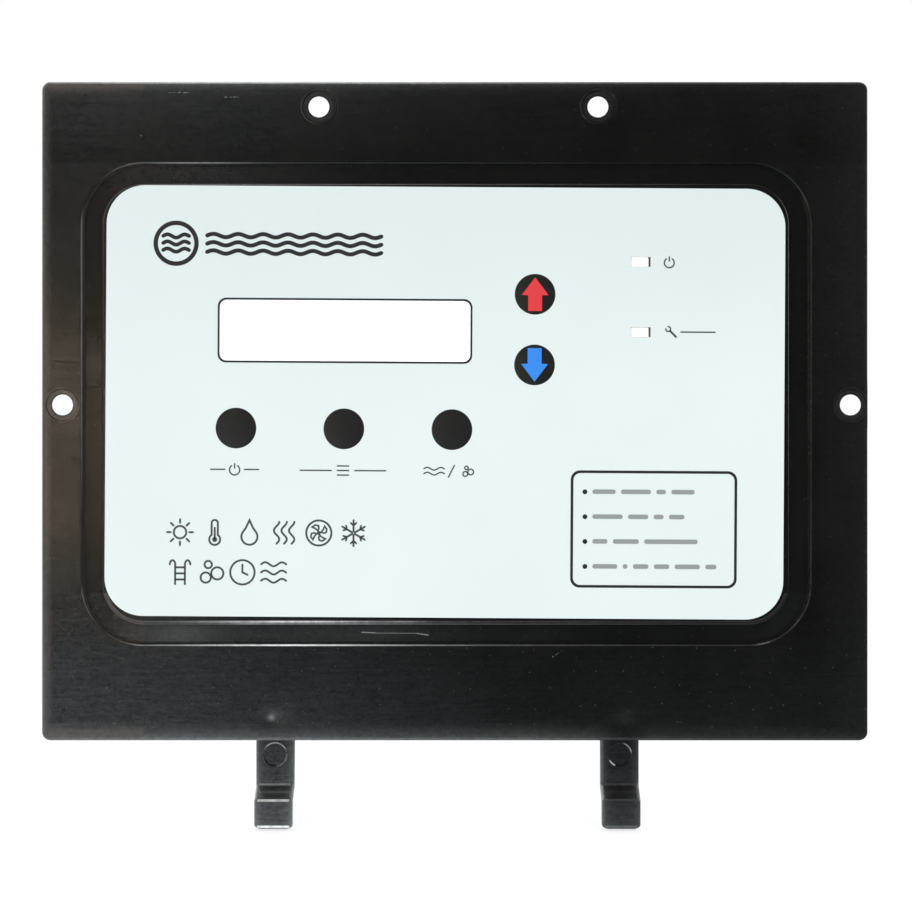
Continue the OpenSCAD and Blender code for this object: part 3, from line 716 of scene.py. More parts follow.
def prism(shell, outer, holes, front, back):
    """Closed flat prism between two depths."""
    first = [shell.loop(points, front) for points in [outer, *holes]]
    second = [shell.loop(points, back) for points in [outer, *holes]]
    shell.fill(first[0], first[1:])
    shell.fill(second[0], second[1:])
    for a, b in zip(first, second):
        shell.bridge(a, b)


# ------------------------------------------------------------------ hooks

HOOK_FRONT, HOOK_BACK, TONGUE_FRONT, TONGUE_BACK = 6.5, 10.3, 1.5, 5.3
HOOK_TOP, HOOK_UNDER, HOOK_END = -78.2, -81.8, -109.5
HOOK_HALF, HOOK_EDGE, HOOK_END_CORNER = 5.0, 0.95, 1.2
# profile corners from the top round the back and end to the front: (Y, Z), fillet radius
HOOK_CORNERS = (
    ((HOOK_BACK, HOOK_TOP), 1.6), ((HOOK_BACK, -99.7), 1.4), ((TONGUE_BACK, -102.9), 1.2),
    ((TONGUE_BACK, HOOK_END), 1.1), ((TONGUE_FRONT, HOOK_END), 1.1),
    ((TONGUE_FRONT, -101.8), 1.1), ((HOOK_FRONT, -98.6), 0.5), ((HOOK_FRONT, HOOK_UNDER), 0.8))


def fillet(before, corner, after, radius, steps=5):
    """Points of the arc that rounds one corner; short legs reduce the radius."""
    def leg(point):
        u, v = point[0] - corner[0], point[1] - corner[1]
        reach = math.hypot(u, v)
        return u / reach, v / reach, reach

    ax, ay, reach_a = leg(before)
    bx, by, reach_b = leg(after)
    half = math.acos(max(-1, min(1, ax * bx + ay * by))) / 2
    cut = min(radius / math.tan(half), reach_a * 0.48, reach_b * 0.48)
    radius = cut * math.tan(half)
    away = radius / math.sin(half) / math.hypot(ax + bx, ay + by)
    u, v = corner[0] + (ax + bx) * away, corner[1] + (ay + by) * away
    start = math.atan2(corner[1] + ay * cut - v, corner[0] + ax * cut - u)
    end = math.atan2(corner[1] + by * cut - v, corner[0] + bx * cut - u)
    turn = math.remainder(end - start, 2 * math.pi)
    return [(u + radius * math.cos(start + turn * i / steps),
             v + radius * math.sin(start + turn * i / steps)) for i in range(steps + 1)]


def hook_profile():
    """The side profile as (Y, Z) points, and a normal into the solid at each."""
    control = [(0.0, HOOK_TOP)] + [corner for corner, _ in HOOK_CORNERS] + [(0.0, HOOK_UNDER)]
    profile = [control[0]]
    for i, (_, radius) in enumerate(HOOK_CORNERS):
        profile += fillet(control[i], control[i + 1], control[i + 2], radius)
    profile.append(control[-1])
    normals = []
    for before, after in zip(profile[:1] + profile, profile[1:] + profile[-1:]):
        u, v = after[0] - before[0], after[1] - before[1]
        reach = math.hypot(u, v)
        normals.append((v / reach, -u / reach))
    normals[0], normals[-1] = (0.0, -1.0), (0.0, 1.0)
    return profile, normals


def hook_half_width(z):
    """Half width, narrowed by round corners at the lower end."""
    corner = HOOK_END_CORNER
    rise = HOOK_END + corner - z
    if rise <= 0:
        return HOOK_HALF
    if rise < corner:
        return HOOK_HALF - corner + math.sqrt(max(corner * corner - rise * rise, 0.0))
    return HOOK_HALF - corner


def hook(shell, centre):
    """Joggled hook: the profile swept along X. Returns its open base loop."""
    profile, normals = hook_profile()
    # stations: X from the centre, inset of the profile
    edge = [(-HOOK_HALF + HOOK_EDGE * (1 - math.cos(t)), HOOK_EDGE * (1 - math.sin(t)))
            for t in [0.0] + quarter(7)]
    stations = edge + [(x, 0.0) for x in (-3.4, 0.0, 3.4)]
    stations += [(-x, inset) for x, inset in reversed(edge)]
    rows = []
    for x, inset in stations:
        points = []
        for (profile_y, profile_z), (normal_y, normal_z) in zip(profile, normals):
            z = profile_z + normal_z * inset
            y = 0.0 if profile_y == 0.0 else profile_y + normal_y * inset
            points.append((centre + x * hook_half_width(z) / HOOK_HALF, y, z))
        rows.append(shell.raw(points))

    def flat_length(i):
        (y0, z0), (y1, z1) = profile[i], profile[i + 1]
        on_front = abs(y0 - HOOK_FRONT) < 1e-6 and abs(y1 - HOOK_FRONT) < 1e-6
        return abs(z1 - z0) if on_front else 0

    # the long flat front is left open here, for the round mark
    flat = max(range(len(profile) - 1), key=flat_length)
    first, last = len(edge) - 1, len(stations) - len(edge)
    for a in range(len(rows) - 1):
        for i in range(len(profile) - 1):
            if i == flat and first <= a < last:
                continue
            shell.faces.append((rows[a][i], rows[a][i + 1], rows[a + 1][i + 1], rows[a + 1][i]))
    border = [rows[a][flat] for a in range(first, last + 1)]
    border += [rows[a][flat + 1] for a in range(last, first - 1, -1)]
    outline = circles((centre, HOOK_MARK_Z), 40)
    mark = shell.loop(outline(3.13), HOOK_FRONT)
    shell.fill(border, [mark])
    shell.fill(shell.sweep(mark, outline, [
        (3.02, HOOK_FRONT + 0.08), (2.96, HOOK_FRONT + 0.22), (2.8, HOOK_FRONT + 0.25)]))
    for row in (rows[0], rows[-1]):
        shell.fill(row, axes=(1, 2))
    return [row[0] for row in rows] + [row[-1] for row in reversed(rows)]


# ------------------------------------------------------------------ bezel

def flange_edge(shell):
    """Front rounding, side and back rounding; returns the front and back loops."""
    # X, Z, outward normal, front edge radius; the right side is cut finer, and its
    # radius narrows where the screw hole comes close
    rim = []
    for k, (side_x, side_z) in enumerate(((1, 1), (-1, 1), (-1, -1), (1, -1))):
        for i in range(9):
            t = math.radians(90 * k + 90 * i / 8)
            u, v = math.cos(t), math.sin(t)
            rim.append((FLANGE_CENTRE[0] + side_x * FLANGE_HALF[0] + FLANGE_CORNER * u,
                        FLANGE_CENTRE[1] + side_z * FLANGE_HALF[1] + FLANGE_CORNER * v,
                        u, v, 1.0 - 0.65 * max(0.0, u) ** 2))
    right = FLANGE_CENTRE[0] + FLANGE_HALF[0] + FLANGE_CORNER
    for i in range(31):
        z = -9.0 + 0.6 * i
        q = min(max((abs(z) - 3.6) / 4.4, 0.0), 1.0)
        rim.append((right, z, 1.0, 0.0, 0.17 + 0.18 * q * q * (3 - 2 * q)))

    def grown(offset):
        return [(x + u * offset, z + v * offset) for x, z, u, v, _ in rim]

    def rounding(t):
        inset, depth = 1 - math.sin(t), 1 - math.cos(t)
        return shell.raw([(x - u * radius * inset, FLANGE_FACE + radius * depth,
                           z - v * radius * inset) for x, z, u, v, radius in rim])

    front = current = rounding(0.0)
    for t in quarter(7):
        current = shell.bridge(current, rounding(t))
    radius = 0.3
    back = shell.sweep(current, grown, [(0.0, -radius)] + [
        (-radius * (1 - math.cos(t)), -radius + radius * math.sin(t)) for t in quarter(3)])
    return front, back


def groove_and_pad(shell):
    """Front surface from the groove rim to the pad's face; returns both loops."""
    groove, pad = grown_rect(GROOVE, 20), grown_rect(PAD, 20)
    foot, edge = 0.22, 0.55
    pad_side = PAD_FACE + edge
    rim = shell.loop(groove(0.50), FLANGE_FACE)
    current = shell.sweep(rim, groove, [
        (0.42, -2.985), (0.08, -2.73), (0.01, -2.62), (0, -1.18), (-0.04, -1.06),
        (-0.16, GROOVE_FLOOR)])
    rows = [(foot, GROOVE_FLOOR)]
    rows += [(foot * (1 - math.sin(t)), GROOVE_FLOOR - foot * (1 - math.cos(t)))
             for t in quarter(4)]
    rows += [(0, pad_side)]
    rows += [(-edge * (1 - math.cos(t)), pad_side - edge * math.sin(t)) for t in quarter(7)]
    return rim, shell.sweep(current, pad, rows)


def opening(shell, outline, edge=0.15):
    """A hole through the pad; returns its front and back loops."""
    front = shell.loop(outline(edge), PAD_FACE)
    return front, shell.sweep(front, outline, [
        (0.04, PAD_FACE + edge * 0.5), (0, PAD_FACE + edge), (0, -1.6), (0.1, PAD_BACK)])


def pad_back(shell, openings):
    """Lens rim, bosses, pocket and the step round it; returns the step's last loop."""
    outer = grown_rect((LENS, 74.6, 25.6, 2.4), 6)
    inner = grown_rect((LENS, 72.2, 23.2, 1.2), 6)
    lens_rim = shell.loop(outer(0), PAD_BACK)
    current = shell.sweep(lens_rim, outer, [(0, -0.15), (-0.15, 0.0)])
    current = shell.sweep(current, inner, [(0.15, 0.0), (0, -0.15), (0, PAD_BACK)])
    shell.fill(current, [openings[0]])
    feet = []
    for centre in BOSSES:
        outline = circles(centre, 40)
        foot = shell.loop(outline(4.0), PAD_BACK)
        shell.fill(shell.sweep(foot, outline, [
            (3.65, -1.38), (3.5, -1.0), (3.5, BOARD_FRONT - 0.25), (3.3, BOARD_FRONT),
            (1.75, BOARD_FRONT), (1.5, BOARD_FRONT - 0.3), (1.5, 0.0)]))
        feet.append(foot)
    pocket, step = grown_rect(POCKET, 20), grown_rect(STEP, 20)
    radius, ledge = 0.5, 1.5
    start = shell.loop(pocket(-radius), PAD_BACK)
    shell.fill(start, [lens_rim] + openings[1:] + feet)
    grow = [(-radius + radius * math.sin(t), radius * (1 - math.cos(t))) for t in quarter(5)]
    current = shell.sweep(start, pocket, [(offset, PAD_BACK + y) for offset, y in grow]
                          + [(0, 1.25), (0.08, 1.43), (0.25, ledge)])
    return shell.sweep(current, step, [(-radius, ledge)]
                       + [(offset, ledge - y) for offset, y in grow]
                       + [(0, 0.25), (0.04, 0.07), (0.1, 0.0)])


def screw_holes(shell):
    """Recessed holes through the flange, the top two ringed; returns front and back loops."""
    fronts, backs = [], []
    for centre in TOP_SCREWS + SIDE_SCREWS:
        outline = circles(centre)
        if centre in TOP_SCREWS:
            exit_centre = (centre[0], centre[1] + 0.3)
            front = shell.loop(outline(4.95), FLANGE_FACE)
            current = shell.sweep(front, outline, [
                (4.85, -2.95), (4.72, -2.93), (4.6, -2.97), (4.5, FLANGE_FACE),
                (4.25, FLANGE_FACE)])
        else:
            exit_centre = (centre[0] + math.copysign(0.3, centre[0]), centre[1])
            front = current = shell.loop(outline(4.13), FLANGE_FACE)
        current = shell.sweep(current, outline, [
            (4.11, -2.98), (4.08, -2.92), (4.08, -2.6), (3.98, -2.5), (2.85, -2.5),
            (2.70, -2.46), (2.66, -2.35)])
        fronts.append(front)
        backs.append(shell.sweep(current, circles(exit_centre), [(3.06, -0.06), (3.1, 0.0)]))
    return fronts, backs


def bezel():
    shell = Shell()
    front, back = flange_edge(shell)
    rim, pad_face = groove_and_pad(shell)
    outlines = [grown_rect((LENS, 66.5, 18.1, 2.6), 8)]
    outlines += [grown_rect((centre, 5.2, 2.8, 0.25), 3) for centre in LAMPS]
    outlines += [lambda offset, c=centre: circle(c, 5.6 + offset, 56)
                 for centre in KEYS.values()]
    openings = [opening(shell, outline) for outline in outlines]
    shell.fill(pad_face, [first for first, _ in openings])
    step = pad_back(shell, [second for _, second in openings])
    hole_fronts, hole_backs = screw_holes(shell)
    shell.fill(front, [rim] + hole_fronts)
    hooks = [hook(shell, x) for x in HOOKS]
    shell.fill(back, [step] + hole_backs + hooks)
    return shell


def boss_gussets():
    """Cross-shaped gussets at the foot of each boss."""
    span, thick, top_span = 12.0, 1.2, 6.6
    shell = Shell()
    for centre in BOSSES:
        for wide, tall, top_wide, top_tall in ((span, thick, top_span, thick),
                                               (thick, span, thick, top_span)):
            foot = shell.loop(rounded_rect(centre, wide, tall, 0.15, 3), -1.7)
            middle = shell.loop(rounded_rect(centre, wide, tall, 0.15, 3), 3.0)
            top = shell.loop(rounded_rect(centre, top_wide, top_tall, 0.15, 3), 7.4)
            shell.fill(foot)
            shell.bridge(foot, middle)
            shell.bridge(middle, top)
            shell.fill(top)
    return shell


BEZEL_BLACK = BezelPlastic().build()
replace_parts(bezel().build("bezel_moulding", BEZEL_BLACK, "bezel_plastic"), "bezel")
boss_gussets().build("boss_gussets", BEZEL_BLACK, "bezel_plastic", merge=1e-5)


# ------------------------------------------------------------------ line icons
# A shape is (outer outline, holes), about its icon's own centre. Icons take size and width.

def area(points):
    return abs(sum(x0 * z1 - x1 * z0
                   for (x0, z0), (x1, z1) in zip(points, points[1:] + points[:1]))) / 2


def round_cap(centre, start, radius, steps=4):
    angle = math.atan2(start[1] - centre[1], start[0] - centre[0])
    return [(centre[0] + radius * math.cos(angle - math.pi * k / steps),
             centre[1] + radius * math.sin(angle - math.pi * k / steps))
            for k in range(1, steps)]


def ribbon(path, width, closed=False):
    """Shape of a line of even width; an open one has round ends."""
    def direction(start, end):
        u, v = end[0] - start[0], end[1] - start[1]
        reach = math.hypot(u, v) or 1
        return u / reach, v / reach

    count = len(path)
    left, right = [], []
    for i, (x, z) in enumerate(path):
        if closed or i < count - 1:
            ahead = direction((x, z), path[(i + 1) % count])
        if closed or i:
            behind = direction(path[i - 1], (x, z))
        else:
            behind = ahead
        if not closed and i == count - 1:
            ahead = behind
        u, v = direction((0, 0), (behind[0] + ahead[0], behind[1] + ahead[1]))
        reach = width / 2 / max(0.35, u * behind[0] + v * behind[1])
        left.append((x - v * reach, z + u * reach))
        right.append((x + v * reach, z - u * reach))
    if closed:
        return (left, [right]) if area(left) > area(right) else (right, [left])
    end_cap = round_cap(path[-1], left[-1], width / 2)
    start_cap = round_cap(path[0], right[0], width / 2)
    return left + end_cap + right[::-1] + start_cap, []


def arc(x, z, radius, start, end, steps):
    angles = [math.radians(start + (end - start) * i / steps) for i in range(steps + 1)]
    return [(x + radius * math.cos(t), z + radius * math.sin(t)) for t in angles]


def ring(x, z, radius, width, count):
    return ribbon(arc(x, z, radius, 0, 360 * (count - 1) / count, count - 1), width, True)


def wave(half, z, height, cycles, steps=40):
    return [(-half + 2 * half * i / steps,
             z + height * math.sin(2 * math.pi * cycles * i / steps)) for i in range(steps + 1)]


def power(size, width):
    return [ribbon(arc(0, -0.1 * size, size, 125, 415, 28), width),
            ribbon([(0, size * 0.25), (0, size * 1.12)], width)]


def three_lines(size, width):
    return [ribbon([(-size, z), (size, z)], width) for z in (-0.8 * size, 0, 0.8 * size)]


def waves(size, width, rows, height, gap):
    return [ribbon(wave(size, (i - (rows - 1) / 2) * gap, height, 1.5), width)
            for i in range(rows)]


def bubbles(size, width):
    return [ring(x * size, z * size, radius * size, width, 28)
            for x, z, radius in ((-0.45, -0.45, 0.42), (0.5, -0.1, 0.5), (-0.25, 0.62, 0.3))]


def sun(size, width):
    shapes = [ring(0, 0, size * 0.48, width, 32)]
    for k in range(8):
        u, v = size * math.cos(math.pi * k / 4), size * math.sin(math.pi * k / 4)
        shapes.append(ribbon([(u * 0.72, v * 0.72), (u, v)], width))
    return shapes


def thermometer(size, width):
    body = arc(0, size * 0.72, size * 0.24, 180, 0, 10)
    body += arc(0, -size * 0.55, size * 0.42, 55, -235, 26)
    return [ribbon(body, width, True), (circle((0, -size * 0.55), size * 0.2, 20), []),
            ribbon([(0, -size * 0.45), (0, size * 0.35)], width)]


def drop(size, width):
    tip = [(size * 0.28, size * 0.36), (0, size * 0.95), (-size * 0.28, size * 0.36)]
    return [ribbon(arc(0, -size * 0.32, size * 0.62, -212, 32, 28) + tip, width, True)]


def fan(size, width):
    shapes = [ring(0, 0, size, width, 40), (circle((0, 0), size * 0.16, 20), [])]
    blade = [(0.2, 0.0), (0.42, 0.14), (0.62, 0.34), (0.7, 0.06), (0.56, -0.16), (0.36, -0.14)]
    for k in range(4):
        t = math.radians(90 * k + 20)
        shapes.append(ribbon([(size * (x * math.cos(t) - z * math.sin(t)),
                               size * (x * math.sin(t) + z * math.cos(t))) for x, z in blade],
                             width * 0.85, True))
    return shapes


def flake(size, width):
    shapes = []
    for k in range(3):
        t = math.radians(90 + 60 * k)
        ends = [(end * size * math.cos(t), end * size * math.sin(t), end) for end in (-1, 1)]
        shapes += [ribbon([(u, v), (u * 0.12, v * 0.12)], width) for u, v, _ in ends]
        for u, v, end in ends:
            for side in (-1, 1):
                branch = t + math.radians(45) * side
                x, z = end * size * math.cos(branch), end * size * math.sin(branch)
                shapes.append(ribbon([(u * 0.58 + x * reach, v * 0.58 + z * reach)
                                      for reach in (0.112, 0.3)], width * 0.9))
    return shapes


def ladder(size, width):
    shapes = []
    for side in (-1, 1):
        rail = [(side * size * 0.4, -size)]
        for degrees in range(0, 181, 20):
            t = math.radians(degrees)
            rail.append((side * size * (0.4 + 0.22 * (1 - math.cos(t))),
                         size * (0.62 + 0.34 * math.sin(t))))
        shapes.append(ribbon(rail, width))
    half = size * 0.4 - width * 0.52
    return shapes + [ribbon([(-half, z * size), (half, z * size)], width)
                     for z in (-0.62, -0.12, 0.38)]


def coil(size, width):
    return [ribbon([(x * size + 0.22 * size * math.sin(t * 2 * math.pi * 1.25 / 24),
                     -size * 0.9 + 1.8 * size * t / 24) for t in range(25)], width)
            for x in (-0.62, 0.0, 0.62)]


def clock(size, width):
    hands = [(0, size * 0.62), (0, 0), (size * 0.42, -size * 0.2)]
    return [ring(0, 0, size, width, 36), ribbon(hands, width)]


def wrench(size, width):
    handle = [(-size * 0.2, size * 0.2), (size * 0.85, -size * 0.85)]
    return [ribbon(arc(-size * 0.52, size * 0.52, size * 0.42, 175, 455, 22), width),
            ribbon(handle, width * 1.5)]


def moved(shapes, shift):
    def move(points):
        return [(x + shift, z) for x, z in points]
    return [(move(outer), [move(hole) for hole in holes]) for outer, holes in shapes]


# ------------------------------------------------------------------ film and print

FILM = "film"
INK_FRONT, INK_BACK = FILM_FACE - 0.035, FILM_FACE + 0.005
PRINT_SCALE = 0.99365   # draws fitted print centres in towards EYE

INK_BLACK = ink("ink_black", (0.018, 0.019, 0.020))
INK_THIN = ink("ink_thin", (0.060, 0.068, 0.072))
INK_GREY = ink("ink_grey", (0.285, 0.312, 0.320))

NODES["graphic_overlay"].data.materials.clear()
NODES["graphic_overlay"].data.materials.append(film_paper())


def turned(points, centre):
    """Turns points about the origin with the print and puts them at centre."""
    cosine, sine = math.cos(TILT), math.sin(TILT)
    return [(centre[0] + x * cosine + z * sine, centre[1] - x * sine + z * cosine)
            for x, z in points]


def printed(name, groups, material, fit=True):
    """Ink as thin prisms on the film's face; groups is [(centre, shapes)]."""
    shell = Shell()
    for centre, shapes in groups:
        if fit:
            centre = tuple(eye + (c - eye) * PRINT_SCALE for c, eye in zip(centre, EYE))
        for outer, holes in shapes:
            prism(shell, turned(outer, centre), [turned(hole, centre) for hole in holes],
                  INK_FRONT, INK_BACK)
    shell.build(name, material, FILM, smooth=None, merge=1e-6)


def frame_shape(width, height, radius, line, inner_radius):
    return (rounded_rect((0, 0), width, height, radius, 10),
            [rounded_rect((0, 0), width - 2 * line, height - 2 * line, inner_radius, 10)])


printed("print_display_border", [(LENS, [frame_shape(64.9, 16.5, 2.15, 0.49, 1.8)])],
        INK_BLACK, fit=False)
printed("print_note_box", [((50.27, -31.78), [frame_shape(42.42, 29.87, 2.38, 0.67, 1.82)])],
        INK_BLACK, fit=False)

# four bulleted rows of plain bars: Z of the row, lengths of its bars
NOTE_ROWS = ((-22.3, (5.9, 7.6, 2.4, 5.9)), (-28.7, (7.7, 5.1, 2.5, 3.9)),
             (-35.05, (3.8, 6.6, 13.6)), (-41.45, (6.3, 1.2, 3.9, 3.9, 6.4, 2.8)))
BULLET_X, BAR_START, BAR_GAP, BAR_HEIGHT, NOTE_PIVOT_X = 32.95, 34.9, 1.45, 1.15, 50.5
bullets, bars = [], []
for z, bar_lengths in NOTE_ROWS:
    bullets.append(((BULLET_X, z + 0.05), [(circle((0, 0), 0.62, 20), [])]))
    x = BAR_START
    for bar in bar_lengths:
        middle = x + bar / 2
        pill = rounded_rect((0, 0), bar, BAR_HEIGHT, BAR_HEIGHT * 0.42, 4)
        bars.append(((middle, z - (middle - NOTE_PIVOT_X) * math.tan(TILT)), [(pill, [])]))
        x += bar + BAR_GAP
printed("print_note_bullets", bullets, INK_BLACK)
printed("print_note_bars", bars, INK_GREY)

# a disc with water waves, and three bold wave stripes beside it
disc = [ring(0, 0, 5.2, 1.12, 56)]
disc += [ribbon(wave(3.3, z, 0.42, 1.5, 30), 0.96) for z in (-1.75, 0.05, 1.85)]
stripes = [ribbon(wave(22.2, z, 0.42, 7.0, 168), 1.04) for z in (-2.1, 0.0, 2.1)]
printed("print_wave_disc", [((-71.9, 41.5), disc)], INK_BLACK)
printed("print_wave_stripes", [((-41.6, 41.25), stripes)], INK_BLACK)

# two rows of thin line icons
ICON_LINE = 0.5
upper_icons = [icon(size, ICON_LINE) for icon, size in (
    (sun, 3.3), (thermometer, 3.3), (drop, 3.3), (coil, 3.1), (fan, 3.2), (flake, 3.3))]
lower_icons = [icon(3.1, ICON_LINE) for icon in (ladder, bubbles, clock)]
lower_icons.append(waves(3.2, ICON_LINE, rows=3, height=0.5, gap=2.1))
printed("print_icon_row", [((-70.9 + 8.9 * i, -32.6 - 0.054 * i), shapes)
                           for i, shapes in enumerate(upper_icons)], INK_THIN)
printed("print_icon_row_lower", [((-70.9 + 8.0 * i, -42.8 - 0.05 * i), shapes)
                                 for i, shapes in enumerate(lower_icons)], INK_THIN)

# key and lamp legends as plain symbols
LEGEND_LINE = 0.34


def dash(start, end):
    return ribbon([(start, 0), (end, 0)], LEGEND_LINE)


on_off = power(1.3, LEGEND_LINE) + [dash(-6.1, -2.5), dash(2.5, 6.1)]
menu = three_lines(1.45, LEGEND_LINE) + [dash(-10.9, -3.0), dash(3.0, 10.9)]
pool_spa = moved(waves(2.6, LEGEND_LINE, rows=2, height=0.34, gap=1.25), -4.4)
pool_spa += [ribbon([(-0.75, -1.5), (0.75, 1.5)], LEGEND_LINE)]
pool_spa += moved(bubbles(1.45, LEGEND_LINE), 4.2)
printed("print_key_legends", [((-56.9, -16.5), on_off), ((-29.1, -16.8), menu),
                              ((-1.3, -17.0), pool_spa)], INK_THIN)
service = moved(wrench(1.45, LEGEND_LINE), -4.9) + [dash(-2.4, 6.3)]
printed("print_lamp_legends", [((55.5, 36.6), moved(power(1.25, LEGEND_LINE), -0.9)),
                               ((60.0, 18.7), service)], INK_THIN)


# ------------------------------------------------------------------ keys

KEY_FILM = "key_film"
# head and shaft of the arrow, pointing up: X, Z
ARROW = ((-1.78, -4.27), (1.78, -4.27), (1.78, -0.3), (3.43, -0.22), (0, 4.3),
         (-3.43, -0.22), (-1.78, -0.3))
KEY_BLACK = key_finish()


def crown(radius):
    """Height of a key's face above the film at a radius."""
    q = min(max(radius / KEY_RADIUS, 0.0), 1.0)
    return CROWN_HEIGHT * (1.0 - q * q)


def key_cap(name, centre):
    """The crowned key area: a finely stepped dome with a soft rim."""
    count, steps, top = 72, 18, 5.12
    shell = Shell()
    outline = circles(centre, count)
    back = shell.loop(outline(top), PAD_FACE)
    rows = [(KEY_RADIUS, PAD_FACE - 0.03), (KEY_RADIUS, PAD_FACE - 0.22), (top, FILM_FACE)]
    for k in range(1, steps):
        radius = top * (1 - k / steps)
        rows.append((radius, FILM_FACE - crown(radius)))
    last = shell.sweep(back, outline, rows)
    middle = shell.raw([(centre[0], FILM_FACE - crown(0), centre[1])])[0]
    for i in range(count):
        shell.faces.append((last[i], last[(i + 1) % count], middle))
    shell.fill(back)
    cap = shell.build("cap_" + name, KEY_BLACK, KEY_FILM, body="key_body_" + name, smooth=50)
    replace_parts(cap, "key_" + name)


def arrow(name, centre, sign):
    """Arrow mesh cut into a fine grid so that it follows the key's crown."""
    mesh = bpy.data.meshes.new(name)
    bm = bmesh.new()
    bm.faces.new([bm.verts.new((x, 0, z)) for x, z in ARROW])
    bm.normal_update()
    bmesh.ops.triangulate(bm, faces=bm.faces)
    for axis, start in ((0, -4), (2, -5)):
        for k in range(22):
            place, normal = [0, 0, 0], [0, 0, 0]
            place[axis] = start + k * 0.45 + 0.013
            normal[axis] = 1
            bmesh.ops.bisect_plane(bm, geom=bm.verts[:] + bm.edges[:] + bm.faces[:],
                                   plane_co=place, plane_no=normal)
    extruded = bmesh.ops.extrude_face_region(bm, geom=bm.faces[:])
    top = {v for v in extruded["geom"] if isinstance(v, bmesh.types.BMVert)}
    for v in bm.verts:
        x, z = turned([(v.co.x, v.co.z * sign)], (0, 0))[0]
        y = FILM_FACE - crown(math.hypot(x, z)) - (0.03 if v in top else -0.02)
        v.co = ((centre[0] + x) * MM, y * MM, (centre[1] + z) * MM)
    bmesh.ops.recalc_face_normals(bm, faces=bm.faces)
    bm.to_mesh(mesh)
    bm.free()
    return mesh


for key, centre in KEYS.items():
    key_cap(key, centre)
for key, sign, material in (("up", 1, ink("ink_red", (0.722, 0.036, 0.043), rough=0.45)),
                            ("down", -1, ink("ink_blue", (0.026, 0.245, 0.860), rough=0.45))):
    name = "print_arrow_" + key
    place_mesh(name, arrow(name, KEYS[key], sign), material,
               body="key_body_" + key, smooth=40)


# ------------------------------------------------------------------ parts kept from the CAD

def keep(node, material, bevel=0.0, segments=2):
    """Keeps a CAD node's shape, gives it a finish and softens its edges."""
    obj = NODES[node]
    obj.data.materials.clear()
    obj.data.materials.append(material)
    for polygon in obj.data.polygons:
        polygon.use_smooth = True
    if bevel:
        obj.modifiers.new("weld", "WELD").merge_threshold = 2e-6
        edges = obj.modifiers.new("edges", "BEVEL")
        edges.width = bevel * MM
        edges.segments = segments
        edges.limit_method = "ANGLE"
        edges.angle_limit = math.radians(30.0)
        edges.use_clamp_overlap = True
        edges.harden_normals = False
    else:
        obj.data.set_sharp_from_angle(angle=math.radians(35.0))
    obj.modifiers.new("normals", "WEIGHTED_NORMAL").keep_sharp = True


LAMP = lamp_finish()
STEEL = plain("zinc_bright", (0.62, 0.62, 0.60), rough=0.28, metal=1.0, grain=5.0)
TIN = plain("tin_plate", (0.66, 0.66, 0.64), rough=0.32, metal=1.0, grain=5.0)
BLACK_NYLON = plain("nylon_black", (0.020, 0.020, 0.021), rough=0.42)
WHITE_NYLON = plain("nylon_white", (0.80, 0.78, 0.71), vary=0.05)
EPOXY = plain("epoxy_black", (0.018, 0.018, 0.019), rough=0.5, grain=9.0, bump=0.02)
RELAY_BLUE = plain("relay_blue", (0.012, 0.055, 0.19), rough=0.22, coat=0.3)
MASK = mask_green()

keep("display_lens", lens_clear(), bevel=0.12)
keep("lcd_glass", lcd_face(), bevel=0.1)
keep("lcd_backlight", plain("light_guide", (0.85, 0.87, 0.87), rough=0.35, vary=0.03), bevel=0.2)
keep("lcd_frame", plain("frame_black", (0.012, 0.012, 0.012), rough=0.38, grain=4.0), bevel=0.12)
keep("lamp_on", LAMP, bevel=0.15, segments=3)
keep("lamp_service", LAMP, bevel=0.15, segments=3)

# node, finish, bevel width
for node, material, bevel in (
    ("lcd_contact_strips", plain("elastomer", (0.42, 0.20, 0.26), rough=0.6), 0.15),
    ("lcd_board", MASK, 0.1),
    ("lcd_driver_chips", EPOXY, 0.0),
    ("lcd_header", BLACK_NYLON, 0.1),
    ("lcd_header_pins", plain("gold_flash", (0.83, 0.60, 0.22), rough=0.25, metal=1.0), 0.08),
    ("lcd_spacers", WHITE_NYLON, 0.1),
    ("lcd_screws", STEEL, 0.06),
    ("lcd_nuts", STEEL, 0.12),
    ("control_board", MASK, 0.1),
    ("board_screws", STEEL, 0.08),
    ("switch_bases", BLACK_NYLON, 0.12),
    ("switch_covers", TIN, 0.05),
    ("switch_domes", TIN, 0.0),
    ("lamp_spacers", BLACK_NYLON, 0.12),
    ("lamp_leads", TIN, 0.05),
    ("microcontroller", EPOXY, 0.18),
    ("relay_driver", EPOXY, 0.18),
    ("crystal", TIN, 0.3),
    ("relays", RELAY_BLUE, 0.35),
    ("spade_tabs", TIN, 0.06),
    ("capacitors", plain("sleeve_dark", (0.012, 0.016, 0.040), rough=0.25, coat=0.4), 0.0),
    ("rectifier_diodes", EPOXY, 0.12),
    ("regulator", EPOXY, 0.15),
    ("heat_sink", plain("anodised_black", (0.035, 0.035, 0.038), rough=0.38, metal=0.7,
                        grain=8.0), 0.12),
    ("sensor_headers", WHITE_NYLON, 0.15),
    ("terminal_header", plain("nylon_green", (0.035, 0.230, 0.075), rough=0.42), 0.15),
    ("terminal_pins", TIN, 0.08),
    ("fuse_holder", BLACK_NYLON, 0.2),
    ("fuse", plain("fuse_violet", (0.20, 0.06, 0.34), rough=0.2, coat=0.3), 0.25),
    ("trimmer_body", plain("trimmer_blue", (0.02, 0.10, 0.40), rough=0.35), 0.15),
    ("trimmer_rotor", WHITE_NYLON, 0.08),
):
    keep(node, material, bevel, segments=2 if bevel < 0.2 else 3)
for key in KEYS:
    keep("stem_" + key, BLACK_NYLON)


# ------------------------------------------------------------------ board layout
# Heights in the board sections are above the board's back face.

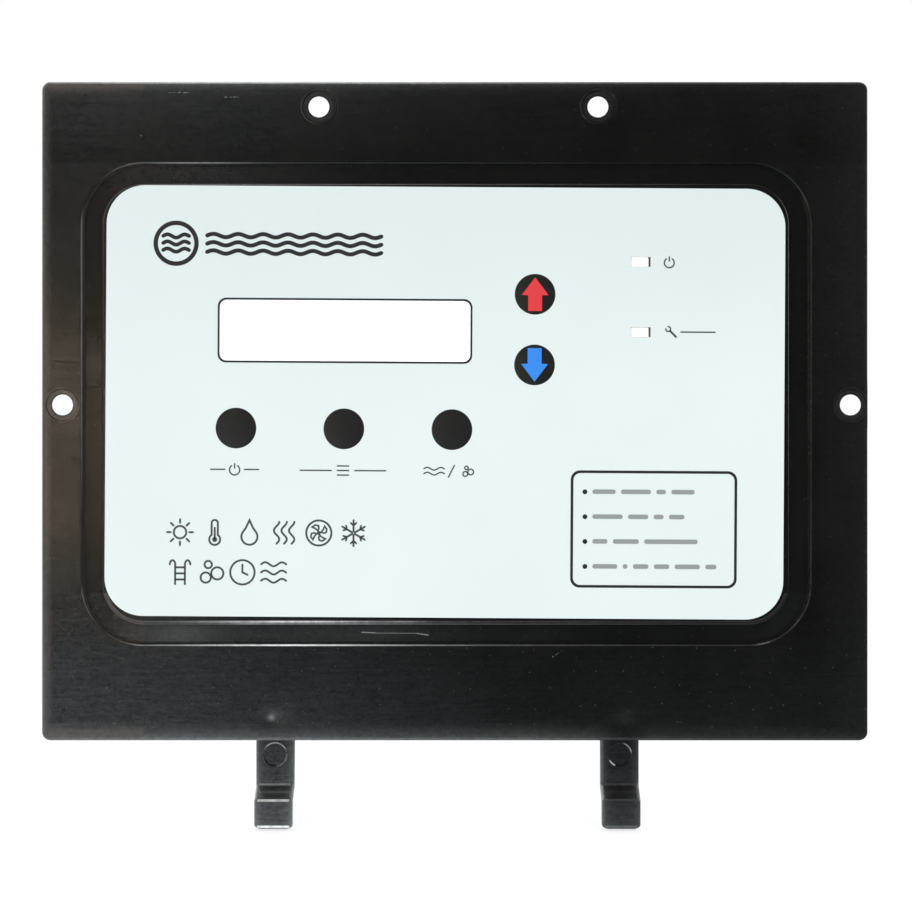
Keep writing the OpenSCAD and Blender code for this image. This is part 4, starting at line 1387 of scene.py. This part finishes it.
PIN_PITCH = 2.54
CONTROLLER, DRIVER = (-28.0, 20.0), (-40.0, -8.0)
OVAL = (-8, 24)
RELAYS = [(-68 + 18 * i, -28) for i in range(4)]
TABS = [(-70.8 + 8.6 * i, -44) for i in range(8)]
# X, Z, diameter, height
CANS = ((54, 24, 12.6, 20), (66, 11, 8, 12), (66, 33, 8, 12), (37, 25, 8, 12))
DIODES = [(46, -8 + 4.4 * i) for i in range(4)]
SENSORS = [(x, 44) for x in (-60, -42, -24)]
SENSOR_PINS = [(x - 3.75 + 2.5 * k, z) for x, z in SENSORS for k in range(4)]
LCD_PINS = [(LENS[0] - 29.5 + PIN_PITCH * i, LENS[1] + 15.5) for i in range(16)]
DRIVER_PINS_X = [DRIVER[0] - 8.89 + PIN_PITCH * i for i in range(8)]
TERMINAL_CENTRE = (36, -40)
TERMINALS = [(TERMINAL_CENTRE[0] - 17.78 + 5.08 * i, TERMINAL_CENTRE[1]) for i in range(8)]


def board_part(shell, name, material, slot, smooth=40.0):
    shell.build(name, material, slot, smooth=smooth, merge=1e-5)


def raised(shell, outer, holes, low, high):
    prism(shell, outer, holes, BOARD_BACK + low, BOARD_BACK + high)


def block(shell, centre, width, height, low, high, edge):
    """Small block with softened edges."""
    def outline(offset):
        return rounded_rect(centre, width, height, edge, 2, offset)
    low, high = BOARD_BACK + low, BOARD_BACK + high
    start = shell.loop(outline(-edge), low)
    end = shell.sweep(start, outline, [(0, low + edge), (0, high - edge),
                                       (-edge * 0.3, high - edge * 0.3), (-edge, high)])
    shell.fill(start)
    shell.fill(end)


def lathe(shell, centre, rows, count=20):
    """Closed turned shape about Y; rows are (radius, height)."""
    outline = circles(centre, count)
    rows = [(radius, BOARD_BACK + height) for radius, height in rows]
    first = shell.loop(outline(rows[0][0]), rows[0][1])
    last = shell.sweep(first, outline, rows[1:])
    shell.fill(first)
    shell.fill(last)


def strap(shell, path, origin, along, width, thick):
    """Bent strip: path is (distance from origin, height), along is its unit direction."""
    loops = []
    for i, (distance, height) in enumerate(path):
        before, after = path[max(i - 1, 0)], path[min(i + 1, len(path) - 1)]
        u, v = after[0] - before[0], after[1] - before[1]
        reach = math.hypot(u, v)
        points = []
        for face, side in ((1, 1), (1, -1), (-1, -1), (-1, 1)):
            out = distance - v / reach * thick / 2 * face
            y = BOARD_BACK + height + u / reach * thick / 2 * face
            across = width / 2 * side
            points.append((origin[0] + along[0] * out - along[1] * across, y,
                           origin[1] + along[1] * out + along[0] * across))
        loops.append(shell.raw(points))
    for first, second in zip(loops, loops[1:]):
        shell.bridge(first, second)
    shell.faces += [tuple(loops[0]), tuple(loops[-1])]


# ------------------------------------------------------------------ tracks and vias

POWER_RUNS = (((62, -4), (62, 2)), ((62, -24.5), (62, -33.5)), ((41.0, 5.2), (41.0, 19.0)),
              ((51.2, 5.2), (54.0, 14.0)), ((66, 14), (66, 29)), ((58.5, 26.5), (66, 33)),
              ((32.5, 41), (37, 28)), ((27.5, 41), (12.0, 38.0)))
# rows of vias: first X and Z, step in X and Z, count, extra drop repeating over three
VIA_ROWS = ((-4, 3.5, 2.1, 0, 5, 0), (10, -18, 2.6, 0, 7, 0), (-75, 8, 2.2, 0, 6, 0),
            (-70, 27.5, 3.1, 0, 4, 0.8), (72.5, -40, 0, 3, 5, 0), (8, 46, 3.3, 0, 4, 0))


def signal_tracks():
    """Thin tracks round the controller, as (path, width)."""
    tracks = []
    # downwards to the driver chip, bending at 45 degrees
    for i, end_x in enumerate(DRIVER_PINS_X):
        x = -31.6 + 0.9 * i
        tracks.append(([(x, 11.6), (x, 9.4), (end_x, 9.4 - abs(x - end_x)), (end_x, -4.3)], 0.3))
    # left and up to the display's pins
    for i in range(8):
        z, column, row = 24.4 - 0.8 * i, -39.2 - 0.75 * i, 29.6 - 0.55 * i
        x = LCD_PINS[i][0]
        tracks.append(([(-36.9, z), (column, z), (column, row), (x, row), (x, 33.3)], 0.3))
    # right, two short ones and three long ones
    for i, bend in enumerate((1.6, -1.6)):
        z = 24.4 - 0.9 * i
        tracks.append(([(-19.2, z), (-13.0, z), (-11.0, z + bend), (-9.6, z + bend)], 0.35))
    for i in range(2, 5):
        z, row = 22.2 - 0.9 * i, -2.0 - 1.4 * i
        tracks.append(([(-19.2, z), (-4.0 - 1.1 * i, z), (4.0, z - 8.0 - 1.1 * i), (4.0, row),
                        (23.0, row)], 0.35))
    return tracks


def power_tracks():
    """Wider tracks of the relays, tabs, terminals and supply, as (path, width)."""
    tracks = []
    for i, (relay_x, _) in enumerate(RELAYS):
        x, end_x = DRIVER_PINS_X[2 * i + 1], relay_x + 3.0
        z = -13.4 - 0.9 * (abs(1.5 - i) * 2)
        tracks.append(([(x, -12.2), (x, z), (end_x, z), (end_x, -18.0)], 0.6))
    for i, (x, z) in enumerate(TABS):
        end_x = RELAYS[i // 2][0] + (3.6 if i % 2 else -3.6)
        tracks.append(([(x, z), (x, z + 2.6), (end_x, z + 2.6 + abs(end_x - x)),
                        (end_x, -36.0)], 2.4))
    for i, (x, z) in enumerate(TERMINALS):
        end_x = x + (2.2 if i < 4 else -2.2)
        drop_z = 0.9 * (i % 4)
        tracks.append(([(x, z), (x, -32.0 - drop_z), (end_x, -29.8 - drop_z),
                        (end_x, -22.0 + 0.7 * (i % 3))], 0.7))
    for start, end in POWER_RUNS:
        bend = (start[0], start[1] + (end[1] - start[1]) * 0.35)
        tracks.append(([start, bend, end], 1.6))
    return tracks


tracks = signal_tracks() + power_tracks()
tracks += [([(x, z - 1.2), (x, z - 5.0 + 0.6 * (i % 4))], 0.35)
           for i, (x, z) in enumerate(SENSOR_PINS)]
shell = Shell()
for path, width in tracks:
    raised(shell, *ribbon(path, width), -0.03, 0.035)
board_part(shell, "board_tracks", trace_green(), "solder_mask", smooth=None)

# a via at the third point of each thin track, and loose rows of them
via_places = [point for path, width in tracks if width < 0.5 for point in path[2:3]]
via_places += [(x + step_x * i, z + step_z * i - extra * (i % 3))
               for x, z, step_x, step_z, count, extra in VIA_ROWS for i in range(count)]
VIA_OUTER, VIA_INNER = 0.46, 0.2
shell = Shell()
for centre in via_places:
    outline = circles(centre, 16)
    shell.fill(shell.sweep(shell.loop(outline(VIA_OUTER), BOARD_BACK + 0.02), outline, [
        (VIA_OUTER - 0.04, BOARD_BACK + 0.06), (VIA_INNER, BOARD_BACK + 0.06),
        (VIA_INNER - 0.02, BOARD_BACK + 0.005)]))
board_part(shell, "board_vias", TIN, "tinned_brass", smooth=30)


# ------------------------------------------------------------------ solder and outlines

# solder profiles: places, (radius, height) rows
SOLDER = (
    (LCD_PINS,
     [(0.95, 0.01), (0.93, 0.08), (0.72, 0.22), (0.50, 0.5), (0.42, 0.78), (0.34, 0.84)]),
    ([(x + side * 2.3, z - 1.9) for x, z in TABS for side in (-1, 1)],
     [(0.95, 0.01), (0.9, 0.12), (0.6, 0.32), (0.2, 0.42)]),
    ([(x + side * 4.8, z) for x, z in DIODES for side in (-1, 1)],
     [(1.05, 0.01), (1.0, 0.1), (0.72, 0.34), (0.55, 0.62), (0.3, 0.7)]),
    ([(x, z - 3.6) for x, z in SENSOR_PINS],
     [(0.5, 0.01), (0.45, 0.08), (0.2, 0.12)]),
)
shell = Shell()
for places, rows in SOLDER:
    for centre in places:
        lathe(shell, centre, rows)
board_part(shell, "solder_joints", plain("solder_bright", (0.72, 0.72, 0.70), rough=0.22,
                                         metal=1.0, grain=4.0, bump=0.03),
           "tinned_steel", smooth=60)

SILK_LINE = 0.18


def silk(shell, outer, *holes):
    raised(shell, outer, holes, 0.005, 0.045)


def silk_box(shell, centre, width, height, radius=0.4):
    silk(shell, rounded_rect(centre, width, height, radius, 4),
         rounded_rect(centre, width - 2 * SILK_LINE, height - 2 * SILK_LINE,
                      max(radius - SILK_LINE, 0.08), 4))


def silk_ring(shell, centre, radius):
    silk(shell, circle(centre, radius, 40), circle(centre, radius - SILK_LINE, 40))


def board_outlines():
    shell = Shell()
    for centre in RELAYS:
        silk_box(shell, centre, 16.4, 20.2, 1.2)
    silk_box(shell, CONTROLLER, 15.0, 15.0)
    silk_ring(shell, (CONTROLLER[0] - 9.2, CONTROLLER[1] + 9.2), 0.45)
    silk_box(shell, DRIVER, 21.4, 9.6)
    silk_ring(shell, (OVAL[0], OVAL[1] + 7.0), 0.4)
    silk_box(shell, OVAL, 6.2, 12.6, 2.8)
    for x, z, diameter, _ in CANS:
        silk_ring(shell, (x, z), diameter / 2 + 0.5)
        silk(shell, rounded_rect((x - diameter / 2 - 1.6, z), 1.2, 0.2, 0.05, 2))
    for centre in DIODES:
        silk_box(shell, centre, 6.6, 3.4)
    silk_box(shell, TERMINAL_CENTRE, 43.0, 10.4)
    silk_box(shell, (62, -14), 9.4, 23.4)
    silk_box(shell, (26, -10), 8.2, 8.2)
    for centre in SENSORS:
        silk_box(shell, centre, 13.6, 7.0)
    silk_box(shell, (-38.85, 34.35), 42.2, 3.8, 0.5)
    silk_box(shell, (30, 38.4), 24.0, 9.6)
    for centre in BOSSES:
        silk_ring(shell, centre, 3.9)
    silk(shell, rounded_rect((-2, -47.2), 0.3, 3.0, 0.1, 2))
    return shell


board_part(board_outlines(), "board_outlines",
           plain("silkscreen", (0.78, 0.80, 0.76), rough=0.55, vary=0.08, grain=12.0),
           "white_nylon", smooth=None)


# ------------------------------------------------------------------ chips and small parts

# leads: (distance from the chip's centre line, height)
CONTROLLER_LEAD = [(6.9, 1.05), (7.3, 1.05), (7.5, 0.95), (7.62, 0.7), (7.74, 0.28),
                   (7.95, 0.13), (8.6, 0.12)]
DRIVER_LEAD = [(3.1, 2.1), (3.62, 2.1), (3.86, 1.95), (3.92, 1.6), (3.98, 0.02)]
shell = Shell()
for k in range(4):
    along = (math.cos(math.pi / 2 * k), math.sin(math.pi / 2 * k))
    for i in range(16):
        shift = -6.0 + 0.8 * i
        origin = (CONTROLLER[0] - along[1] * shift, CONTROLLER[1] + along[0] * shift)
        strap(shell, CONTROLLER_LEAD, origin, along, width=0.32, thick=0.15)
for side in (-1, 1):
    for x in DRIVER_PINS_X:
        strap(shell, DRIVER_LEAD, (x, DRIVER[1]), (0, side), width=1.15, thick=0.26)
board_part(shell, "chip_leads", TIN, "tinned_steel", smooth=30)

# rows of small parts: first X and Z, pitch, count, upright, kinds in turn (resistor, capacitor);
# upright parts run down -Z, the others along +X
SMALL_ROWS = (
    (-12.0, 10.5, 3.2, 4, False, "RC"), (-15.5, 30.5, 2.6, 3, True, "C"),
    (-57.0, 18.0, 3.0, 5, False, "R"), (-57.0, 13.2, 3.0, 5, False, "RC"),
    (-22.0, -10.5, 3.4, 6, False, "R"), (-22.0, -5.4, 3.4, 4, False, "C"),
    (17.0, 20.0, 3.0, 5, True, "RC"), (30.0, -24.5, 3.0, 6, False, "R"),
    (-72.0, 26.0, 3.2, 4, True, "RC"), (60.5, 44.5, 3.2, 2, False, "R"),
    (16.0, -3.4, 3.2, 2, False, "C"))
SMALL_LENGTH, SMALL_WIDTH, SMALL_EDGE = 2.0, 1.25, 0.06
SMALL_HEIGHT = {"R": 0.55, "C": 0.85}


def small_block(shell, x, z, upright, shift, long, wide, low, high):
    """A block shifted along its part's length."""
    if upright:
        block(shell, (x, z + shift), wide, long, low, high, SMALL_EDGE)
    else:
        block(shell, (x + shift, z), long, wide, low, high, SMALL_EDGE)


bodies, ends = {"R": Shell(), "C": Shell()}, Shell()
for first_x, first_z, pitch, count, upright, kinds in SMALL_ROWS:
    for i in range(count):
        x = first_x if upright else first_x + pitch * i
        z = first_z - pitch * i if upright else first_z
        kind = kinds[i % len(kinds)]
        top = SMALL_HEIGHT[kind]
        small_block(bodies[kind], x, z, upright, 0, SMALL_LENGTH - 0.5, SMALL_WIDTH, 0.06, top)
        for side in (-1, 1):
            small_block(ends, x, z, upright, side * (SMALL_LENGTH / 2 - 0.2), 0.42,
                        SMALL_WIDTH + 0.03, 0.02, top + 0.02)
board_part(bodies["R"], "chip_resistors", EPOXY, "chip_epoxy")
board_part(bodies["C"], "chip_capacitors",
           plain("ceramic_tan", (0.46, 0.30, 0.16), rough=0.4, vary=0.1), "chip_epoxy")
board_part(ends, "chip_ends", TIN, "tinned_steel")


# ------------------------------------------------------------------ cans, relays and plugs

def can_stripe(x, z, radius):
    """Outline of a thin curved stripe on the can's side."""
    angles = [math.radians(150 + 55 * i / 8) for i in range(9)]
    inner, outer = [[(x + r * math.cos(t), z + r * math.sin(t)) for t in angles]
                    for r in (radius - 0.02, radius + 0.03)]
    return outer + inner[::-1]


tops, marks = Shell(), Shell()
for x, z, diameter, height in CANS:
    radius = diameter / 2 - 1.35
    lathe(tops, (x, z), [(radius, height - 0.3), (radius, height - 0.17),
                         (radius - 0.15, height - 0.12), (radius * 0.5, height - 0.1),
                         (0.05, height - 0.1)], 36)
    for k in range(3):
        t = math.radians(90 + 120 * k)
        score = [(x, z), (x + math.cos(t) * radius * 0.8, z + math.sin(t) * radius * 0.8)]
        raised(marks, *ribbon(score, 0.14), height - 0.14, height - 0.085)
    raised(marks, can_stripe(x, z, diameter / 2), [], 2.2, height - 0.75)
board_part(tops, "can_tops", plain("can_aluminium", (0.70, 0.70, 0.71), rough=0.34, metal=1.0,
                                   grain=3.0, bump=0.02), "tinned_steel")
board_part(marks, "can_marks", plain("sleeve_mark", (0.52, 0.56, 0.60), rough=0.4, vary=0.05),
           "can_sleeve", smooth=30)

# a raised frame and a pip on top of each relay, and a dark line round its base
RELAY_TOP = 15.5
frames, base_lines = Shell(), Shell()
for x, z in RELAYS:
    raised(frames, rounded_rect((x, z), 12.6, 16.4, 1.0, 4),
           [rounded_rect((x, z), 11.9, 15.7, 0.7, 4)], RELAY_TOP - 0.04, RELAY_TOP + 0.16)
    lathe(frames, (x + 4.2, z + 6.2), [(0.75, RELAY_TOP - 0.04), (0.75, RELAY_TOP + 0.20),
                                       (0.66, RELAY_TOP + 0.28), (0.25, RELAY_TOP + 0.28)])
    raised(base_lines, rounded_rect((x, z), 15.52, 19.32, 0.5, 3),
           [rounded_rect((x, z), 15.2, 19.0, 0.4, 3)], 0.9, 1.35)
board_part(frames, "relay_frames", RELAY_BLUE, "relay_case")
board_part(base_lines, "relay_base_lines", EPOXY, "black_nylon")

shell = Shell()
for centre in SENSOR_PINS:
    block(shell, centre, 0.64, 0.64, 1.0, 6.2, edge=0.12)
board_part(shell, "plug_contacts", TIN, "tinned_brass")


# ------------------------------------------------------------------ floor, world and camera

def floor_finish():
    """Pale floor, white far off and brighter in reflections. Works in metres."""
    m = Material("floor_pale")
    x, y, _ = m.split(m.node("ShaderNodeTexCoord")["Object"])
    radius = length(x, y)
    m.finish(color=(0.40, 0.40, 0.40), rough=0.8, spec=0.05, emit=(1.0, 1.0, 1.0),
             emit_strength=0.68)
    white = m.node("ShaderNodeEmission", {"Strength": 1.0})
    seen = m.mix_shader(radius.ramp(span=(0.10, 0.34)), m.surface, white)
    # in reflections: bright close by, fading forward and to the right
    near = (radius.ramp(span=(0.02, 0.15), to=(1.45, 0.0))
            * x.ramp(span=(-0.06, 0.06), to=(1.0, 0.40)))
    left = x.ramp(span=(-0.20, 0.02), to=(1.25, 0.14))
    forward = y.ramp(span=(-0.8, -0.2), to=(0.12, 1.10))
    gloss = m.node("ShaderNodeEmission", {"Color": (0.90, 1.0, 1.08),
                                          "Strength": near + left * forward})
    m.show(m.mix_shader(m.node("ShaderNodeLightPath")["Is Glossy Ray"], seen, gloss))
    m.material.cycles.emission_sampling = "NONE"
    return m.material


def floor():
    half, gap = 6, 0.0003   # metres
    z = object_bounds()[0].z - gap
    bm = bmesh.new()
    for x, y in ((-half, -half), (half, -half), (half, half), (-half, half)):
        bm.verts.new((x, y, z))
    bm.faces.new(bm.verts)
    mesh = bpy.data.meshes.new("floor")
    bm.to_mesh(mesh)
    bm.free()
    obj = bpy.data.objects.new("floor", mesh)
    bpy.context.scene.collection.objects.link(obj)
    mesh.materials.append(floor_finish())
    obj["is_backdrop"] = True


# strengths of the surround; directions are unit vectors
EVEN = 1.02                 # light on matt surfaces
SIDE = 0.20                 # everything outside the dark opening
TOP, TOP_SPOT = 0.12, 4.0   # overhead strip and the bright spot in it
WASH, BOX = 1.7, 0.45       # soft band and far box at the left
RIGHT = 1.6
BACK = 0.9                  # grey of the half behind the panel
AMBIENT = 0.03
# soft patches in front of the panel: strength, X, Z, X width, Z width, tint
PATCHES = (
    (69.0, -0.240, -0.0250, 0.034, 0.0235, (1.0, 0.78, 0.54)),
    (0.10, -0.25, 0.02, 0.11, 0.32, (0.98, 1.0, 0.97)),
    (0.74, -0.20, 0.20, 0.09, 0.06, (0.96, 1.0, 1.04)),
    (0.11, 0.22, -0.05, 0.20, 0.30, (0.95, 1.0, 1.02)),
    (0.16, -0.08, 0.20, 0.12, 0.08, (0.9, 1.0, 1.02)),
)


def glossy_surround(g):
    """What glossy surfaces see: a dark opening round the camera, graded boxes beyond it."""
    x, y, z = g.split(g.node("ShaderNodeTexCoord")["Generated"])
    opening_edge = length(x - 0.10, z).smooth(span=(0.36, 0.66))
    left = x * -1.0
    spot = (x - -0.10) / 0.11
    spot = (spot * spot * -1.0).exp()
    wash = left.smooth(span=(0.38, 0.64)) * left.smooth(span=(0.90, 0.68)) * WASH
    right = x.smooth(span=(0.62, 0.86)) * RIGHT * z.smooth(span=(-0.12, 0.0), to=(0.45, 1.0))
    layers = [
        (opening_edge * SIDE, (1.0, 1.0, 0.995)),
        (z.smooth(span=(0.70, 0.86)) * (spot * TOP_SPOT + TOP), (0.97, 1.0, 1.01)),
        (wash + left.smooth(span=(0.78, 0.92)) * BOX, (1.0, 0.99, 0.97)),
        (right, (0.98, 1.0, 1.0)),
        (y > -0.02, (BACK, BACK, BACK)),
    ]
    for strength, at_x, at_z, width_x, width_z, tint in PATCHES:
        u = (x - at_x) / width_x
        v = (z - at_z) / width_z
        layers.append((((u * u + v * v) * -1.0).exp() * (y < 0.0) * strength, tint))
    layers.append(((y < 0.0) * AMBIENT, (0.95, 1.0, 1.0)))
    total = reduce(lambda a, b: g.node("ShaderNodeVectorMath", {0: a, 1: b}, operation="ADD"),
                   [g.scale(tint, strength) for strength, tint in layers])
    return total, z


def world():
    """Soft studio surround: white to the camera, graded for reflections and light."""
    studio = bpy.data.worlds.new("studio")
    bpy.context.scene.world = studio
    studio.use_nodes = True
    g = Graph(studio.node_tree)
    g.tree.nodes.clear()
    output = g.tree.nodes.new("ShaderNodeOutputWorld")
    total, z = glossy_surround(g)
    glossy = g.node("ShaderNodeBackground", {0: total, 1: 1.0})
    # even light for matt surfaces, a little stronger from above
    even = z.smooth(span=(-1.0, 1.0), to=(0.85 * EVEN, 1.15 * EVEN))
    matt = g.node("ShaderNodeBackground", {0: g.scale((1.0, 1.0, 1.0), even)})
    white = g.node("ShaderNodeBackground", {0: (1.0, 1.0, 1.0), 1: 1.0})
    ray = g.node("ShaderNodeLightPath")
    lighting = g.mix_shader(ray["Is Diffuse Ray"], glossy, matt)
    g.put(g.mix_shader(ray["Is Camera Ray"], lighting, white), output.inputs[0])
    studio.cycles.sampling_method = "NONE"


def camera():
    """Looks straight at the panel from the front."""
    distance = 470.0   # from the flange's face
    data = bpy.data.cameras.new("camera")
    data.sensor_width = 36.0
    data.lens = 72.60
    data.clip_start, data.clip_end = 0.01, 50
    obj = bpy.data.objects.new("camera", data)
    obj.location = (EYE[0] * MM, (FLANGE_FACE - distance) * MM, EYE[1] * MM)
    obj.rotation_euler = (math.radians(90), 0, 0)
    bpy.context.scene.collection.objects.link(obj)
    bpy.context.scene.camera = obj


floor()
world()
camera()
bpy.context.scene.view_settings.view_transform = "Standard"
bpy.context.scene.view_settings.look = "None"
